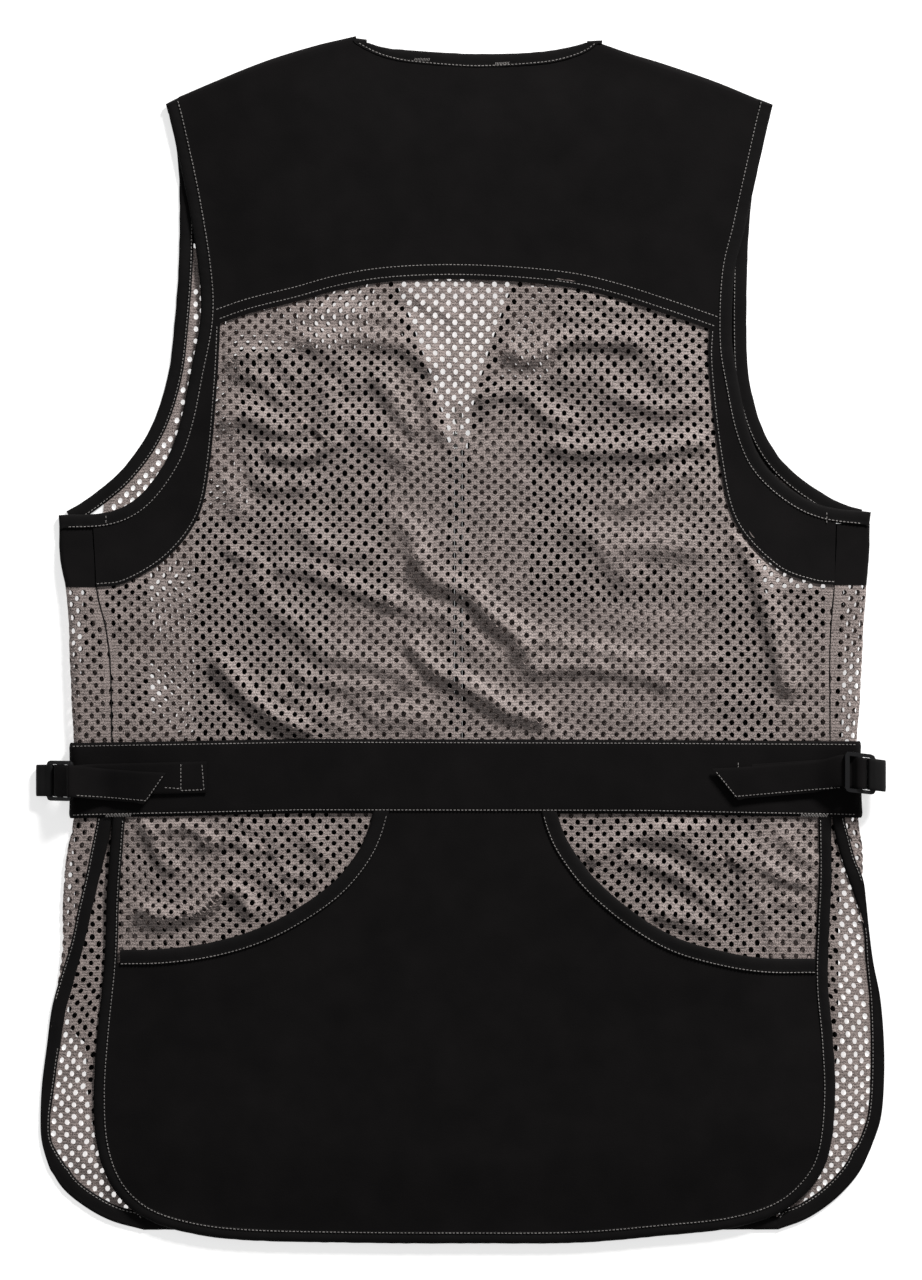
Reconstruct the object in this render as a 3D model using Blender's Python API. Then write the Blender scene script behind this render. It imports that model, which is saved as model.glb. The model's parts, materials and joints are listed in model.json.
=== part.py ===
"""A shooting vest laid flat with its back up: black cloth, open mesh and bound edges.

Sizes are in millimetres and become metres when a mesh is made. +X is to the right, +Y towards the neck
and +Z up. The origin is the middle of the underside. The front lies on the floor, the back on the front.
"""

import math
from collections import namedtuple

import bmesh
import bpy
import numpy as np

MM = 0.001

# Thickness of each cloth wall
CLOTH = 1.2
MESH = 1.0
EDGE_BINDING = 2.0
VENT_BINDING = 2.6
BELT = 2.0
STRAP = 1.2
ZIP_TAPE = 1.0
ZIP_CHAIN = 2.4

# Gaps between pieces
SEAM = 0.3
BELT_GAP = 0.4
POUCH_GAP = 0.6

# Height of the back's underside over the floor
EDGE_REST = 2.6
MIDDLE_LIFT = 7.6
RISE_RUN = 62.0
CALM_RUN = 12.0
CALM_BELT_HIGH = -54.0
CALM_BELT_LOW = -128.0

# Widths of what is sewn on
ARMHOLE_BAND = 10.0
SCOOP_BAND = 11.0
VENT_BAND = 9.0
V_BAND = 9.0
TURN_UNDER = 15.0
END_TURN = 4.0

# Lines that several pieces share
BELT_UNDERLAP_Y = -118.0
FRONT_HEM_Y = -413.0
FRONT_YOKE_Y = 250.0
SIDE_PANEL_X = {-1: -250.0, 1: 255.0}
FOLD_STEPS = 5

# Zip
ZIP_X = -1.5
ZIP_TOP_Y = 134.0
CHAIN_HALF = 2.6
TAPE_WIDTH = 5.0
SLIDER_LENGTH = 10.0
SLIDER_HALF = 4.4
SLIDER_HEIGHT = 3.6
PIN_Z = 1.8
PIN_RADIUS = 0.5
EYE_HOLE = 0.85
EYE_RADIUS = 1.5
PULL_HALF = 1.6
PULL_LENGTH = 19.0
PULL_WIDE_HALF = 2.8
PULL_THICK = 1.2

# Side straps and their buckles
STRAP_WIDTH = 22.0
BUCKLE_WIDTH = 28.0
BUCKLE_RAIL = 2.6
BUCKLE_THICK = 3.0
BUCKLE_BAR = 3.2
BUCKLE_SLOT = 6.2

# Outlines seen from above, one x and y for each point
NECK_EDGE = (
    (-65.5, 418.0), (-62.0, 416.5), (-54.0, 414.0), (-42.0, 412.5), (-14.0, 410.5),
    (10.0, 409.5), (38.0, 409.8), (56.0, 411.0), (73.0, 413.5), (85.0, 416.5), (88.5, 418.0),
)
NECK_SEAM = (
    (-76.0, 418.0), (-71.0, 414.5), (-58.0, 408.0), (-42.0, 403.5), (-21.0, 401.0),
    (12.0, 399.0), (51.0, 401.0), (71.0, 404.0), (88.0, 410.0), (99.0, 418.0),
)
SHOULDER = {
    -1: ((-193.5, 381.0), (-172.0, 390.0), (-137.0, 404.0), (-102.0, 415.0), (-81.0, 420.2)),
    1: ((206.5, 378.6), (178.0, 390.0), (143.0, 402.0), (120.5, 409.0), (103.5, 415.0)),
}
BACK_ARMHOLE = {
    -1: (
        (-206.0, 374.5), (-201.5, 357.0), (-191.0, 308.0), (-183.0, 257.0), (-182.0, 224.0),
        (-189.0, 186.0), (-196.0, 152.0), (-206.0, 125.0), (-225.0, 100.0), (-247.0, 89.0),
        (-281.0, 87.0),
    ),
    1: (
        (218.5, 374.0), (214.3, 357.0), (204.5, 313.0), (198.5, 286.0), (191.5, 255.0), (190.0, 210.0),
        (194.5, 179.0), (202.0, 145.0), (213.0, 122.0), (234.0, 103.0), (256.0, 93.0), (287.0, 89.0),
    ),
}

# How much further up the armhole binding's inner corner lies at the shoulder than its outer corner
SHOULDER_RISE = {-1: 2.6, 1: 1.6}
FRONT_ARMHOLE = {
    -1: (
        (-204.0, 369.0), (-201.5, 358.0), (-197.0, 322.0), (-197.0, 270.0), (-200.0, 224.0),
        (-205.0, 184.0), (-217.0, 148.0), (-237.0, 119.0), (-262.0, 98.0), (-281.0, 87.0),
    ),
    1: (
        (218.0, 369.0), (215.0, 358.0), (205.0, 322.0), (201.0, 270.0), (200.5, 200.0), (205.0, 168.0),
        (215.0, 140.0), (232.0, 118.0), (261.0, 98.0), (287.0, 89.0),
    ),
}
YOKE_EDGE = (
    (-172.0, 219.5), (-147.0, 228.0), (-114.0, 236.0), (-85.0, 244.0), (-52.0, 249.5), (-10.0, 251.5),
    (35.0, 250.0), (75.0, 246.0), (106.0, 239.0), (144.0, 227.0), (181.0, 214.5),
)
CRESCENT = {
    -1: (
        (-168.0, 219.0), (-170.0, 180.0), (-175.0, 123.0), (-183.0, 86.0), (-204.0, 58.0), (-233.0, 40.0),
        (-254.0, 36.5),
    ),
    1: (
        (174.0, 216.0), (173.5, 191.0), (180.0, 131.0), (191.0, 83.0), (219.0, 51.0), (245.0, 40.0),
        (261.0, 38.0),
    ),
}
SIDE_SEAM = {
    -1: ((-258.0, 87.0), (-254.0, 36.5), (-247.0, 5.0), (-244.0, -30.0), (-243.0, -118.0)),
    1: ((264.0, 91.0), (261.0, 38.0), (258.0, -4.0), (258.0, -60.0), (258.5, -118.0)),
}
SIDE_OUTLINE = {
    -1: ((-281.0, 87.0), (-280.0, 56.0), (-275.0, 28.0), (-273.0, -20.0), (-270.5, -80.0), (-271.0, -125.0),
         (-275.0, -146.0), (-278.0, -175.0), (-279.0, -218.0), (-282.0, -240.0)),
    1: ((287.0, 89.0), (285.5, 56.0), (282.5, 20.0), (280.0, -30.0), (277.0, -80.0), (278.5, -125.0),
        (281.5, -145.0), (281.8, -168.0)),
}
BACK_EDGE = (
    (-243.0, -119.0), (-245.0, -144.0), (-247.5, -180.0), (-249.0, -225.0), (-254.0, -276.0),
    (-256.5, -318.0), (-254.0, -355.0), (-243.0, -384.0), (-222.0, -404.0), (-190.0, -415.0),
    (-150.0, -420.0), (-80.0, -421.8), (0.0, -422.3), (80.0, -421.8), (140.0, -417.0), (190.0, -411.5),
    (225.0, -400.0), (247.0, -381.0), (258.0, -358.0), (262.0, -320.0), (260.5, -280.0),
    (257.0, -240.0), (258.0, -200.0), (259.5, -165.0), (259.0, -119.0),
)
SCOOP = {
    -1: (
        (-238.0, -217.0), (-208.0, -216.0), (-175.0, -211.5), (-145.0, -203.0), (-118.0, -190.0),
        (-92.0, -172.0), (-75.0, -153.0), (-65.0, -134.0), (-58.0, -108.0),
    ),
    1: (
        (248.0, -223.0), (215.0, -222.5), (185.0, -218.0), (152.0, -208.5), (124.0, -192.5), (97.0, -170.0),
        (80.0, -149.0), (71.0, -132.0), (64.0, -108.0),
    ),
}
V_EDGE = {
    -1: ((-66.0, 396.0), (-63.0, 370.0), (-55.0, 300.0), (-44.0, 248.0), (-33.0, 219.0), (-21.0, 185.0),
         (-9.0, 147.0)),
    1: ((88.0, 394.0), (80.0, 362.0), (58.0, 300.0), (36.0, 248.0), (24.0, 215.0), (13.0, 180.0),
        (5.0, 147.0)),
}

# Where the front's bound vent edge lies: on the folded side at the top, at the outline further down.
# inner is its edge next to the back, outer its edge next to the outline, under its height over the floor.
Vent = namedtuple("Vent", "y inner outer under")
VENT = {
    -1: tuple(Vent(*row) for row in (
        (-127.0, -243.8, -254.5, 2.7), (-147.0, -247.5, -258.5, 2.6), (-169.0, -253.0, -263.0, 2.4),
        (-190.0, -258.0, -268.0, 2.2), (-212.0, -263.0, -272.5, 1.9), (-236.0, -269.5, -280.0, 1.5),
        (-258.0, -275.0, -286.0, 0.6), (-284.0, -280.0, -289.5, 0.0), (-312.0, -284.0, -293.0, 0.0),
        (-336.0, -287.0, -294.0, 0.0), (-352.0, -285.5, -293.0, 0.0), (-369.0, -275.5, -288.0, 0.0),
    )),
    1: tuple(Vent(*row) for row in (
        (-127.0, 260.3, 269.0, 2.6), (-140.0, 263.0, 272.5, 2.3), (-153.0, 266.5, 276.0, 1.9),
        (-168.0, 271.5, 281.8, 1.5), (-184.0, 277.0, 284.0, 0.7), (-203.0, 282.0, 286.0, 0.0),
        (-226.0, 283.5, 289.0, 0.0), (-252.0, 286.0, 294.0, 0.0), (-284.0, 287.0, 296.5, 0.0),
        (-314.0, 286.5, 296.3, 0.0), (-336.0, 284.0, 294.0, 0.0), (-354.0, 277.0, 288.0, 0.0),
    )),
}
FRONT_CORNER = {
    -1: ((-288.0, -369.0), (-278.0, -384.5), (-262.0, -397.5), (-244.0, -407.0), (-222.0, FRONT_HEM_Y)),
    1: ((288.0, -354.0), (279.0, -373.0), (263.0, -391.0), (243.0, -405.0), (222.0, FRONT_HEM_Y)),
}
WRAP_END_Y = {-1: -206.0, 1: -150.0}

# Height of the folded side's inner face where the vent opens it
Cap = namedtuple("Cap", "y height")
WRAP_CAP = {
    -1: (Cap(-206.0, 2.2), Cap(-180.0, 2.7), Cap(-126.0, 3.2), Cap(-95.0, 12.0)),
    1: (Cap(-150.0, 2.3), Cap(-126.0, 3.1), Cap(-95.0, 12.0)),
}

# The mesh's largest folds: rounded ridges, placed by their middle
Crease = namedtuple("Crease", "x y angle length width height")
CREASES = tuple(Crease(*row) for row in (
    (-143.0, 148.0, -3.0, 60.0, 10.0, 3.2),
    (-108.0, 166.0, 64.0, 50.0, 9.0, 2.6),
    (-38.0, 154.0, -43.0, 95.0, 10.0, 3.0),
    (-102.0, 127.0, -5.0, 45.0, 9.0, 2.2),
    (84.0, 211.0, -8.0, 50.0, 9.0, 2.6),
    (42.0, 199.0, -12.0, 45.0, 9.0, 2.2),
    (109.0, 133.0, -2.0, 115.0, 10.0, 3.2),
    (-143.0, -31.0, -38.0, 95.0, 9.0, 3.6),
    (-34.0, 20.0, -17.0, 75.0, 9.0, 2.4),
    (4.0, 29.0, -30.0, 75.0, 10.0, 4.0),
    (91.0, -17.0, -5.0, 85.0, 10.0, 3.6),
    (5.0, -26.0, -40.0, 105.0, 10.0, 3.6),
    (210.0, 33.0, -70.0, 90.0, 10.0, 3.4),
    (131.0, 15.0, 36.0, 50.0, 11.0, 1.8),
    (-76.0, -28.0, -12.0, 65.0, 10.0, 2.6),
    (-175.0, -160.0, 35.0, 60.0, 10.0, 2.2),
    (185.0, -165.0, -32.0, 60.0, 10.0, 2.2),
))

# Colour, roughness and metallic value of each finish
Finish = namedtuple("Finish", "colour roughness metallic")
FINISHES = {
    "black_cloth": Finish((0.012, 0.011, 0.011), 0.85, 0.0),
    "black_binding": Finish((0.014, 0.013, 0.013), 0.75, 0.0),
    "grey_mesh": Finish((0.22, 0.19, 0.185), 0.8, 0.0),
    "black_webbing": Finish((0.013, 0.013, 0.013), 0.7, 0.0),
    "black_plastic": Finish((0.015, 0.015, 0.016), 0.35, 0.0),
    "zip_metal": Finish((0.45, 0.44, 0.42), 0.35, 1.0),
}

SIDES = {-1: "left", 1: "right"}


# Curves


def evenly(points, count):
    """count + 1 points, evenly spaced along a polyline."""
    points = np.asarray(points, float)
    along = np.concatenate(([0.0], np.cumsum(np.linalg.norm(np.diff(points, axis=0), axis=1))))
    wanted = np.linspace(0.0, along[-1], count + 1)
    return np.column_stack([np.interp(wanted, along, points[:, k]) for k in range(points.shape[1])])


def smooth(rows, count=160):
    """count + 1 points on a smooth curve through the rows."""
    points = np.array(rows, float)
    ends = np.vstack((2 * points[0] - points[1], points, 2 * points[-1] - points[-2]))
    fine = []
    for k in range(len(points) - 1):
        a, b, c, d = ends[k : k + 4]
        for t in np.linspace(0.0, 1.0, 12, endpoint=False):
            turn = (2 * a - 5 * b + 4 * c - d) * t**2 + (3 * b - a - 3 * c + d) * t**3
            fine.append(0.5 * (2 * b + (c - a) * t + turn))
    fine.append(points[-1])
    return evenly(fine, count)


def left_normals(path):
    """Unit vectors to the left of the way along a path."""
    way = np.gradient(path, axis=0)
    normals = np.column_stack((-way[:, 1], way[:, 0]))
    return normals / np.linalg.norm(normals, axis=1)[:, None]


def offset(path, distance):
    """The path moved to its left, or to its right where distance is negative."""
    return path + left_normals(path) * np.reshape(distance, (-1, 1))


def distance_to(paths, x, y):
    """Distance from each place to the nearest of some polylines."""
    best = np.full(np.shape(x), 1e9)
    for path in paths:
        for (ax, ay), (bx, by) in zip(path[:-1], path[1:]):
            dx, dy = bx - ax, by - ay
            share = np.clip(((x - ax) * dx + (y - ay) * dy) / (dx * dx + dy * dy), 0.0, 1.0)
            best = np.minimum(best, np.hypot(x - ax - share * dx, y - ay - share * dy))
    return best


def eased(value):
    value = np.clip(value, 0.0, 1.0)
    return value * value * (3.0 - 2.0 * value)


NECK = smooth(NECK_EDGE)
NECK_INNER = smooth(NECK_SEAM)
YOKE = smooth(YOKE_EDGE)
BACK = smooth(BACK_EDGE, 320)
ARM = {side: smooth(BACK_ARMHOLE[side]) for side in SIDES}
CURVE = {side: smooth(CRESCENT[side]) for side in SIDES}
SEAMS = {side: smooth(SIDE_SEAM[side]) for side in SIDES}
SIDE = {side: smooth(SIDE_OUTLINE[side]) for side in SIDES}

FREE_EDGES = [evenly(path, 40) for path in (NECK, ARM[-1], ARM[1])] + [evenly(BACK, 80)]
CALM_LINES = [
    evenly(YOKE, 24),
    np.array([(-280.0, CALM_BELT_HIGH), (280.0, CALM_BELT_HIGH)]),
    np.array([(-280.0, CALM_BELT_LOW), (280.0, CALM_BELT_LOW)]),
    *(evenly(CURVE[side], 24) for side in SIDES),
    *(evenly(SEAMS[side], 8) for side in SIDES),
    *(evenly(smooth(SCOOP[side]), 16) for side in SIDES),
]


def folds(x, y):
    """Height that the creases add, which dies out towards every seam."""
    rise = np.zeros(np.shape(x))
    for crease in CREASES:
        turn = math.radians(crease.angle)
        along = (x - crease.x) * math.cos(turn) + (y - crease.y) * math.sin(turn)
        across = (y - crease.y) * math.cos(turn) - (x - crease.x) * math.sin(turn)
        fade = eased((crease.length / 2 + crease.width - np.abs(along)) / (2 * crease.width))
        rise = rise + crease.height * fade * np.exp(-((across / crease.width) ** 2))
    calm = eased(distance_to(CALM_LINES, x, y) / CALM_RUN)
    return np.where((y < CALM_BELT_HIGH) & (y > CALM_BELT_LOW), 0.0, rise * calm)


def lift(x, y):
    """Height of the back layer's underside over the floor."""
    share = eased(distance_to(FREE_EDGES, x, y) / RISE_RUN)
    return EDGE_REST + (MIDDLE_LIFT - EDGE_REST) * share


def mesh_lift(x, y):
    return lift(x, y) + folds(x, y)


def pouch_lift(x, y):
    return lift(x, y) + MESH + POUCH_GAP


def belt_lift(x, y):
    return lift(x, y) + MESH + BELT_GAP


def belt_edge(x, low):
    """Y of the belt's lower or upper edge."""
    if low:
        return np.interp(x, (-272.0, -112.0, 126.0, 278.0), (-125.0, -121.2, -121.6, -124.6))
    return np.interp(x, (-272.0, -112.0, 126.0, 278.0), (-72.2, -69.3, -70.0, -71.0))


# Solids


def finish_material(slot):
    material = bpy.data.materials.get(slot) or bpy.data.materials.new(slot)
    material.use_nodes = True
    shader = material.node_tree.nodes["Principled BSDF"]
    shader.inputs["Base Color"].default_value = (*FINISHES[slot].colour, 1.0)
    shader.inputs["Roughness"].default_value = FINISHES[slot].roughness
    shader.inputs["Metallic"].default_value = FINISHES[slot].metallic
    material.diffuse_color = (*FINISHES[slot].colour, 1.0)
    return material


def make_object(name, slot, vertices, faces):
    """One closed mesh, its faces turned outwards, shaded smooth but for its sharp edges."""
    mesh = bpy.data.meshes.new(name)
    work = bmesh.new()
    made = [work.verts.new([float(value) * MM for value in place]) for place in vertices]
    for face in faces:
        work.faces.new([made[k] for k in face])
    bmesh.ops.recalc_face_normals(work, faces=work.faces)
    work.to_mesh(mesh)
    work.free()
    mesh.materials.append(finish_material(slot))
    mesh.shade_smooth()
    mesh.set_sharp_from_angle(angle=math.radians(40.0))
    piece = bpy.data.objects.new(name, mesh)
    bpy.context.scene.collection.objects.link(piece)
    return piece


def wall(name, slot, lower, upper, holes=()):
    """A closed wall between two grids of points. A point that isn't a number leaves its cells out."""
    rows, columns = lower.shape[:2]
    there = ~np.isnan(lower[..., 0])
    cells = [
        (r, c)
        for r in range(rows - 1)
        for c in range(columns - 1)
        if there[r : r + 2, c : c + 2].all() and (r, c) not in holes
    ]
    number = {}
    for r, c in cells:
        for corner in ((r, c), (r, c + 1), (r + 1, c + 1), (r + 1, c)):
            number.setdefault(corner, len(number))
    total = len(number)
    vertices = [lower[corner] for corner in number] + [upper[corner] for corner in number]
    faces, borders = [], {}
    for r, c in cells:
        loop = [number[k] for k in ((r, c), (r, c + 1), (r + 1, c + 1), (r + 1, c))]
        faces.append(loop[::-1])
        faces.append([total + k for k in loop])
        for a, b in zip(loop, loop[1:] + loop[:1]):
            if borders.pop((b, a), None) is None:
                borders[(a, b)] = True
    faces += [[a, b, total + b, total + a] for a, b in borders]
    return make_object(name, slot, vertices, faces)


def raised(flat, height, thickness):
    """Lower and upper grids of a panel whose underside follows a height function."""
    under = height(flat[..., 0], flat[..., 1])
    lower = np.dstack((flat, under))
    upper = np.dstack((flat, under + thickness))
    return lower, upper


def ruled(first, second, steps):
    """A grid of steps + 1 rows from one line of points to another."""
    share = np.linspace(0.0, 1.0, steps + 1)[:, None, None]
    return first[None] * (1.0 - share) + second[None] * share


def patch(top, bottom, left, right):
    """A grid inside four lines of points that meet at their ends."""
    u = np.linspace(0.0, 1.0, len(top))[None, :, None]
    v = np.linspace(0.0, 1.0, len(left))[:, None, None]
    across = (1 - v) * top[None] + v * bottom[None]
    down = (1 - u) * left[:, None] + u * right[:, None]
    corners = (1 - v) * ((1 - u) * top[0] + u * top[-1]) + v * ((1 - u) * bottom[0] + u * bottom[-1])
    return across + down - corners


def flat_height(level):
    return lambda x, y: np.full(np.shape(x), float(level))


def plate(name, slot, outline, thickness, base=0.0):
    """A flat piece on the floor, drawn in by half a seam all round. The outline runs counterclockwise."""
    points = np.array(outline, float)
    before = points - np.roll(points, 1, axis=0)
    after = np.roll(points, -1, axis=0) - points
    turned = [np.column_stack((-way[:, 1], way[:, 0])) for way in (before, after)]
    first, second = [way / np.linalg.norm(way, axis=1)[:, None] for way in turned]
    middle = first + second
    middle /= np.linalg.norm(middle, axis=1)[:, None]
    reach = SEAM / 2 / np.maximum(0.35, (middle * first).sum(axis=1))
    points = points + middle * reach[:, None]
    count = len(points)
    vertices = [(x, y, base) for x, y in points] + [(x, y, base + thickness) for x, y in points]
    faces = [list(range(count))[::-1], list(range(count, 2 * count))]
    faces += [[k, (k + 1) % count, count + (k + 1) % count, count + k] for k in range(count)]
    return make_object(name, slot, vertices, faces)


def end_turn(places, way, height, thickness):
    """Rows that take a strip's end over a fold and down to the floor. places are its outermost points."""
    outer_radius = height / 2.0
    inner_radius = outer_radius - thickness
    centre = places - way * outer_radius
    lower, upper = [], []
    for angle in np.linspace(90.0, -90.0, FOLD_STEPS + 1):
        cosine, sine = math.cos(math.radians(angle)), math.sin(math.radians(angle))
        for rows, radius in ((upper, outer_radius), (lower, inner_radius)):
            flat = centre + way * radius * cosine
            rows.append(np.column_stack((flat, np.full(len(flat), outer_radius + radius * sine))))
    flat = centre - way * END_TURN
    upper.append(np.column_stack((flat, np.zeros(len(flat)))))
    lower.append(np.column_stack((flat, np.full(len(flat), thickness))))
    return lower, upper


def band(name, slot, first, second, height, thickness, turns=(None, None)):
    """A strip between two lines of points. turns holds the way over a fold at its start and at its end."""
    flat = np.stack((first, second), axis=1)
    for row, way in zip((0, -1), turns):
        if way is not None:
            level = height(flat[row, :, 0], flat[row, :, 1]) + thickness
            flat[row] = flat[row] - np.array(way) * level[:, None] / 2.0
    lower, upper = raised(flat, height, thickness)
    for row, way in zip((0, -1), turns):
        if way is None:
            continue
        way = np.array(way, float)
        level = lower[row, :, 2].mean() + thickness
        places = flat[row] + way * level / 2.0
        turned_lower, turned_upper = end_turn(places, way, level, thickness)
        if row == 0:
            lower = np.concatenate((np.array(turned_lower[:0:-1]), lower))
            upper = np.concatenate((np.array(turned_upper[:0:-1]), upper))
        else:
            lower = np.concatenate((lower, np.array(turned_lower[1:])))
            upper = np.concatenate((upper, np.array(turned_upper[1:])))
    return wall(name, slot, lower, upper)


def part_of(path, keep, count):
    """count + 1 evenly spaced points on the stretch of a path that keep says yes to."""
    chosen = path[keep(path[:, 0], path[:, 1])]
    return evenly(chosen, count)


# Back layer


def armhole_seam(side, extra=2 * SEAM):
    """The inner edge of the back's armhole binding, with a seam's gap."""
    return offset(ARM[side], -side * (ARMHOLE_BAND + extra))


def build_yoke():
    shoulders, turned, falls = {}, {}, {}
    for side in SIDES:
        line = smooth(SHOULDER[side], 6)
        falls[side] = -np.abs(left_normals(line)[:, 1:2]) * [[0.0, 1.0]] + left_normals(line) * [[side, 0.0]]
        falls[side] = falls[side] / np.linalg.norm(falls[side], axis=1)[:, None]
        radius = (lift(line[:, 0], line[:, 1]) + CLOTH) / 2.0
        shoulders[side] = line + falls[side] * radius[:, None]
        turned[side] = (line, radius)
    neck = offset(part_of(NECK_INNER, lambda x, y: y < 417.5, 12), -2.0 * SEAM)
    top = np.vstack((shoulders[-1], neck[1:-1], shoulders[1][::-1]))
    left = part_of(armhole_seam(-1), lambda x, y: (y > 219.5) & (y < 378.0), 8)
    right = part_of(armhole_seam(1), lambda x, y: (y > 214.5) & (y < 375.0), 8)
    left[0], right[0] = top[0], top[-1]
    bottom = evenly(YOKE, len(top) - 1)
    bottom[0], bottom[-1] = left[-1], right[-1]
    flat = patch(top, bottom, left, right)
    lower, upper = raised(flat, lift, CLOTH)
    count = len(top)
    rows = FOLD_STEPS + 1
    extra_lower = np.full((rows, count, 3), np.nan)
    extra_upper = np.full((rows, count, 3), np.nan)
    for side in SIDES:
        line, radius = turned[side]
        for k in range(len(line)):
            column = k if side < 0 else count - 1 - k
            way = -falls[side][k]
            radius[k] = (lower[0, column, 2] + CLOTH) / 2.0
            for step in range(1, FOLD_STEPS + 1):
                angle = math.radians(90.0 - 180.0 * step / FOLD_STEPS)
                for grid, reach in ((extra_upper, radius[k]), (extra_lower, radius[k] - CLOTH)):
                    place = line[k] + way * (reach * math.cos(angle) - radius[k])
                    grid[rows - step, column] = (*place, radius[k] + reach * math.sin(angle))
            end = line[k] - way * TURN_UNDER
            extra_upper[0, column] = (*end, 0.0)
            extra_lower[0, column] = (*end, CLOTH)
    return wall("back_yoke", "black_cloth", np.concatenate((extra_lower, lower)),
                np.concatenate((extra_upper, upper)))


def build_neck_binding():
    count = 12
    edge, seam = evenly(NECK, count), evenly(NECK_INNER, count)
    edge[0, 1] += 3.0
    seam[0, 1] += 3.0
    edge[-1, 1] += 1.5
    seam[-1, 1] += 1.5
    return band("neck_binding", "black_binding", edge, seam, lift, EDGE_BINDING, ((0.0, 1.0), (0.0, 1.0)))


def build_back_mesh():
    gap = {side: offset(CURVE[side], -side * SEAM) for side in SIDES}
    left_top = evenly(gap[-1], 14)[::-1][:-1]
    right_top = evenly(gap[1], 14)[1:]
    yoke = offset(part_of(YOKE, lambda x, y: (x > -167.5) & (x < 173.5), 20), -SEAM)
    top = np.vstack((left_top, yoke, right_top))
    seams = {side: offset(SEAMS[side], -side * SEAM) for side in SIDES}
    left = part_of(seams[-1], lambda x, y: y < 36.0, 16)
    right = part_of(seams[1], lambda x, y: y < 37.5, 16)
    left[0], right[0] = top[0], top[-1]
    knots = np.concatenate((
        np.linspace(left[-1, 0], -165.0, 15)[:-1], yoke[:, 0], np.linspace(174.0, right[-1, 0], 15)[1:],
    ))
    bottom = np.column_stack((knots, np.full(len(knots), BELT_UNDERLAP_Y)))
    left[-1], right[-1] = bottom[0], bottom[-1]
    lower, upper = raised(patch(top, bottom, left, right), mesh_lift, MESH)
    wall("back_mesh", "grey_mesh", lower, upper)


def back_seam(extra=SEAM):
    """The inner edge of the binding round the back's vents and hem, with a seam's gap."""
    return offset(BACK, VENT_BAND + extra)


def back_split():
    """Indexes on the back's edge where its two lower corners are cut."""
    left = int(np.argmin(np.hypot(BACK[:, 0] + 236.0, BACK[:, 1] + 393.0)))
    right = int(np.argmin(np.hypot(BACK[:, 0] - 236.0, BACK[:, 1] + 392.0)))
    return left, right


def build_lower_mesh():
    inner = back_seam(2.0 * SEAM)
    low, high = back_split()
    left = evenly(inner[: low + 1], 14)
    bottom = evenly(inner[low : high + 1], 20)
    right = evenly(inner[high:], 14)[::-1]
    left[0, 1] = right[0, 1] = BELT_UNDERLAP_Y - SEAM
    top = np.linspace(left[0], right[0], 21)
    lower, upper = raised(patch(top, bottom, left, right), mesh_lift, MESH)
    wall("back_mesh_lower", "grey_mesh", lower, upper)


def scoop_line(side, extra):
    path = offset(smooth(SCOOP[side]), side * extra)
    ceiling = belt_edge(path[:, 0], True) - SEAM
    seam = back_seam()
    low, high = back_split()
    edge = seam[: low + 1][::-1] if side < 0 else seam[high:]
    walls = np.interp(path[:, 1], edge[:, 1], edge[:, 0])
    inside = side * (walls - path[:, 0]) > SEAM
    return path[(path[:, 1] < ceiling) & inside]


def build_pouch():
    inner = back_seam(4.0 * SEAM)
    low, high = back_split()
    lines = {side: scoop_line(side, SCOOP_BAND + 2.0 * SEAM) for side in SIDES}
    across = np.linspace(lines[-1][-1, 0], lines[1][-1, 0], 7)[1:-1]
    middle = np.column_stack((across, belt_edge(across, True) - SEAM))
    top = np.vstack((evenly(lines[-1], 14), middle, evenly(lines[1], 14)[::-1]))
    left = evenly([p for p in inner[: low + 1] if p[1] < top[0, 1] - 2.0], 9)
    right = evenly([p for p in inner[high:] if p[1] < top[-1, 1] - 2.0], 9)[::-1]
    bottom = evenly(inner[low : high + 1], len(top) - 1)
    left[0], right[0] = top[0], top[-1]
    lower, upper = raised(patch(top, bottom, left, right), pouch_lift, CLOTH)
    wall("game_pouch", "black_cloth", lower, upper)


def build_scoop_bindings():
    for side, word in SIDES.items():
        edge = evenly(scoop_line(side, 0.0), 14)
        seam = evenly(scoop_line(side, SCOOP_BAND), 14)
        band(f"scoop_binding_{word}", "black_binding", edge, seam, pouch_lift, EDGE_BINDING)


def build_back_bindings():
    inner = back_seam(0.0)
    low, high = back_split()
    stretches = {"left": (12, low - 1, 14), "hem": (low + 1, high - 1, 22), "right": (high + 1, 308, 14)}
    for word, (start, end, count) in stretches.items():
        first = evenly(BACK[start : end + 1], count)
        second = evenly(inner[start : end + 1], count)
        band(f"back_binding_{word}", "black_binding", first, second, lift, VENT_BINDING)


def build_facings():
    for side, word in SIDES.items():
        seam = armhole_seam(side)
        top_y = CURVE[side][0, 1] - SEAM
        limit = SEAMS[side][0, 0] - side * SEAM
        first = part_of(seam, lambda x, y: (y < top_y) & (side * x < side * limit), 14)
        second = evenly(CURVE[side], 14)
        second[0, 1] = first[0, 1]
        flat = ruled(first, second, 2)
        lower, upper = raised(flat, lift, CLOTH)
        wall(f"armhole_facing_{word}", "black_cloth", lower, upper)


def build_armhole_bindings():
    for side, word in SIDES.items():
        inner = offset(ARM[side], -side * ARMHOLE_BAND)
        first, second = evenly(ARM[side], 26), evenly(inner, 26)
        second[0, 1] += SHOULDER_RISE[side]
        way = (0.05 * side, 1.0)
        band(f"armhole_binding_back_{word}", "black_binding", first, second, lift, EDGE_BINDING,
             (way, (float(side), 0.0)))


def wrap_height(side):
    rows = WRAP_CAP[side]

    def height(x, y):
        cap = np.interp(y, [row.y for row in rows], [row.height for row in rows])
        return np.minimum(lift(x, y), cap)

    return height


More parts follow.
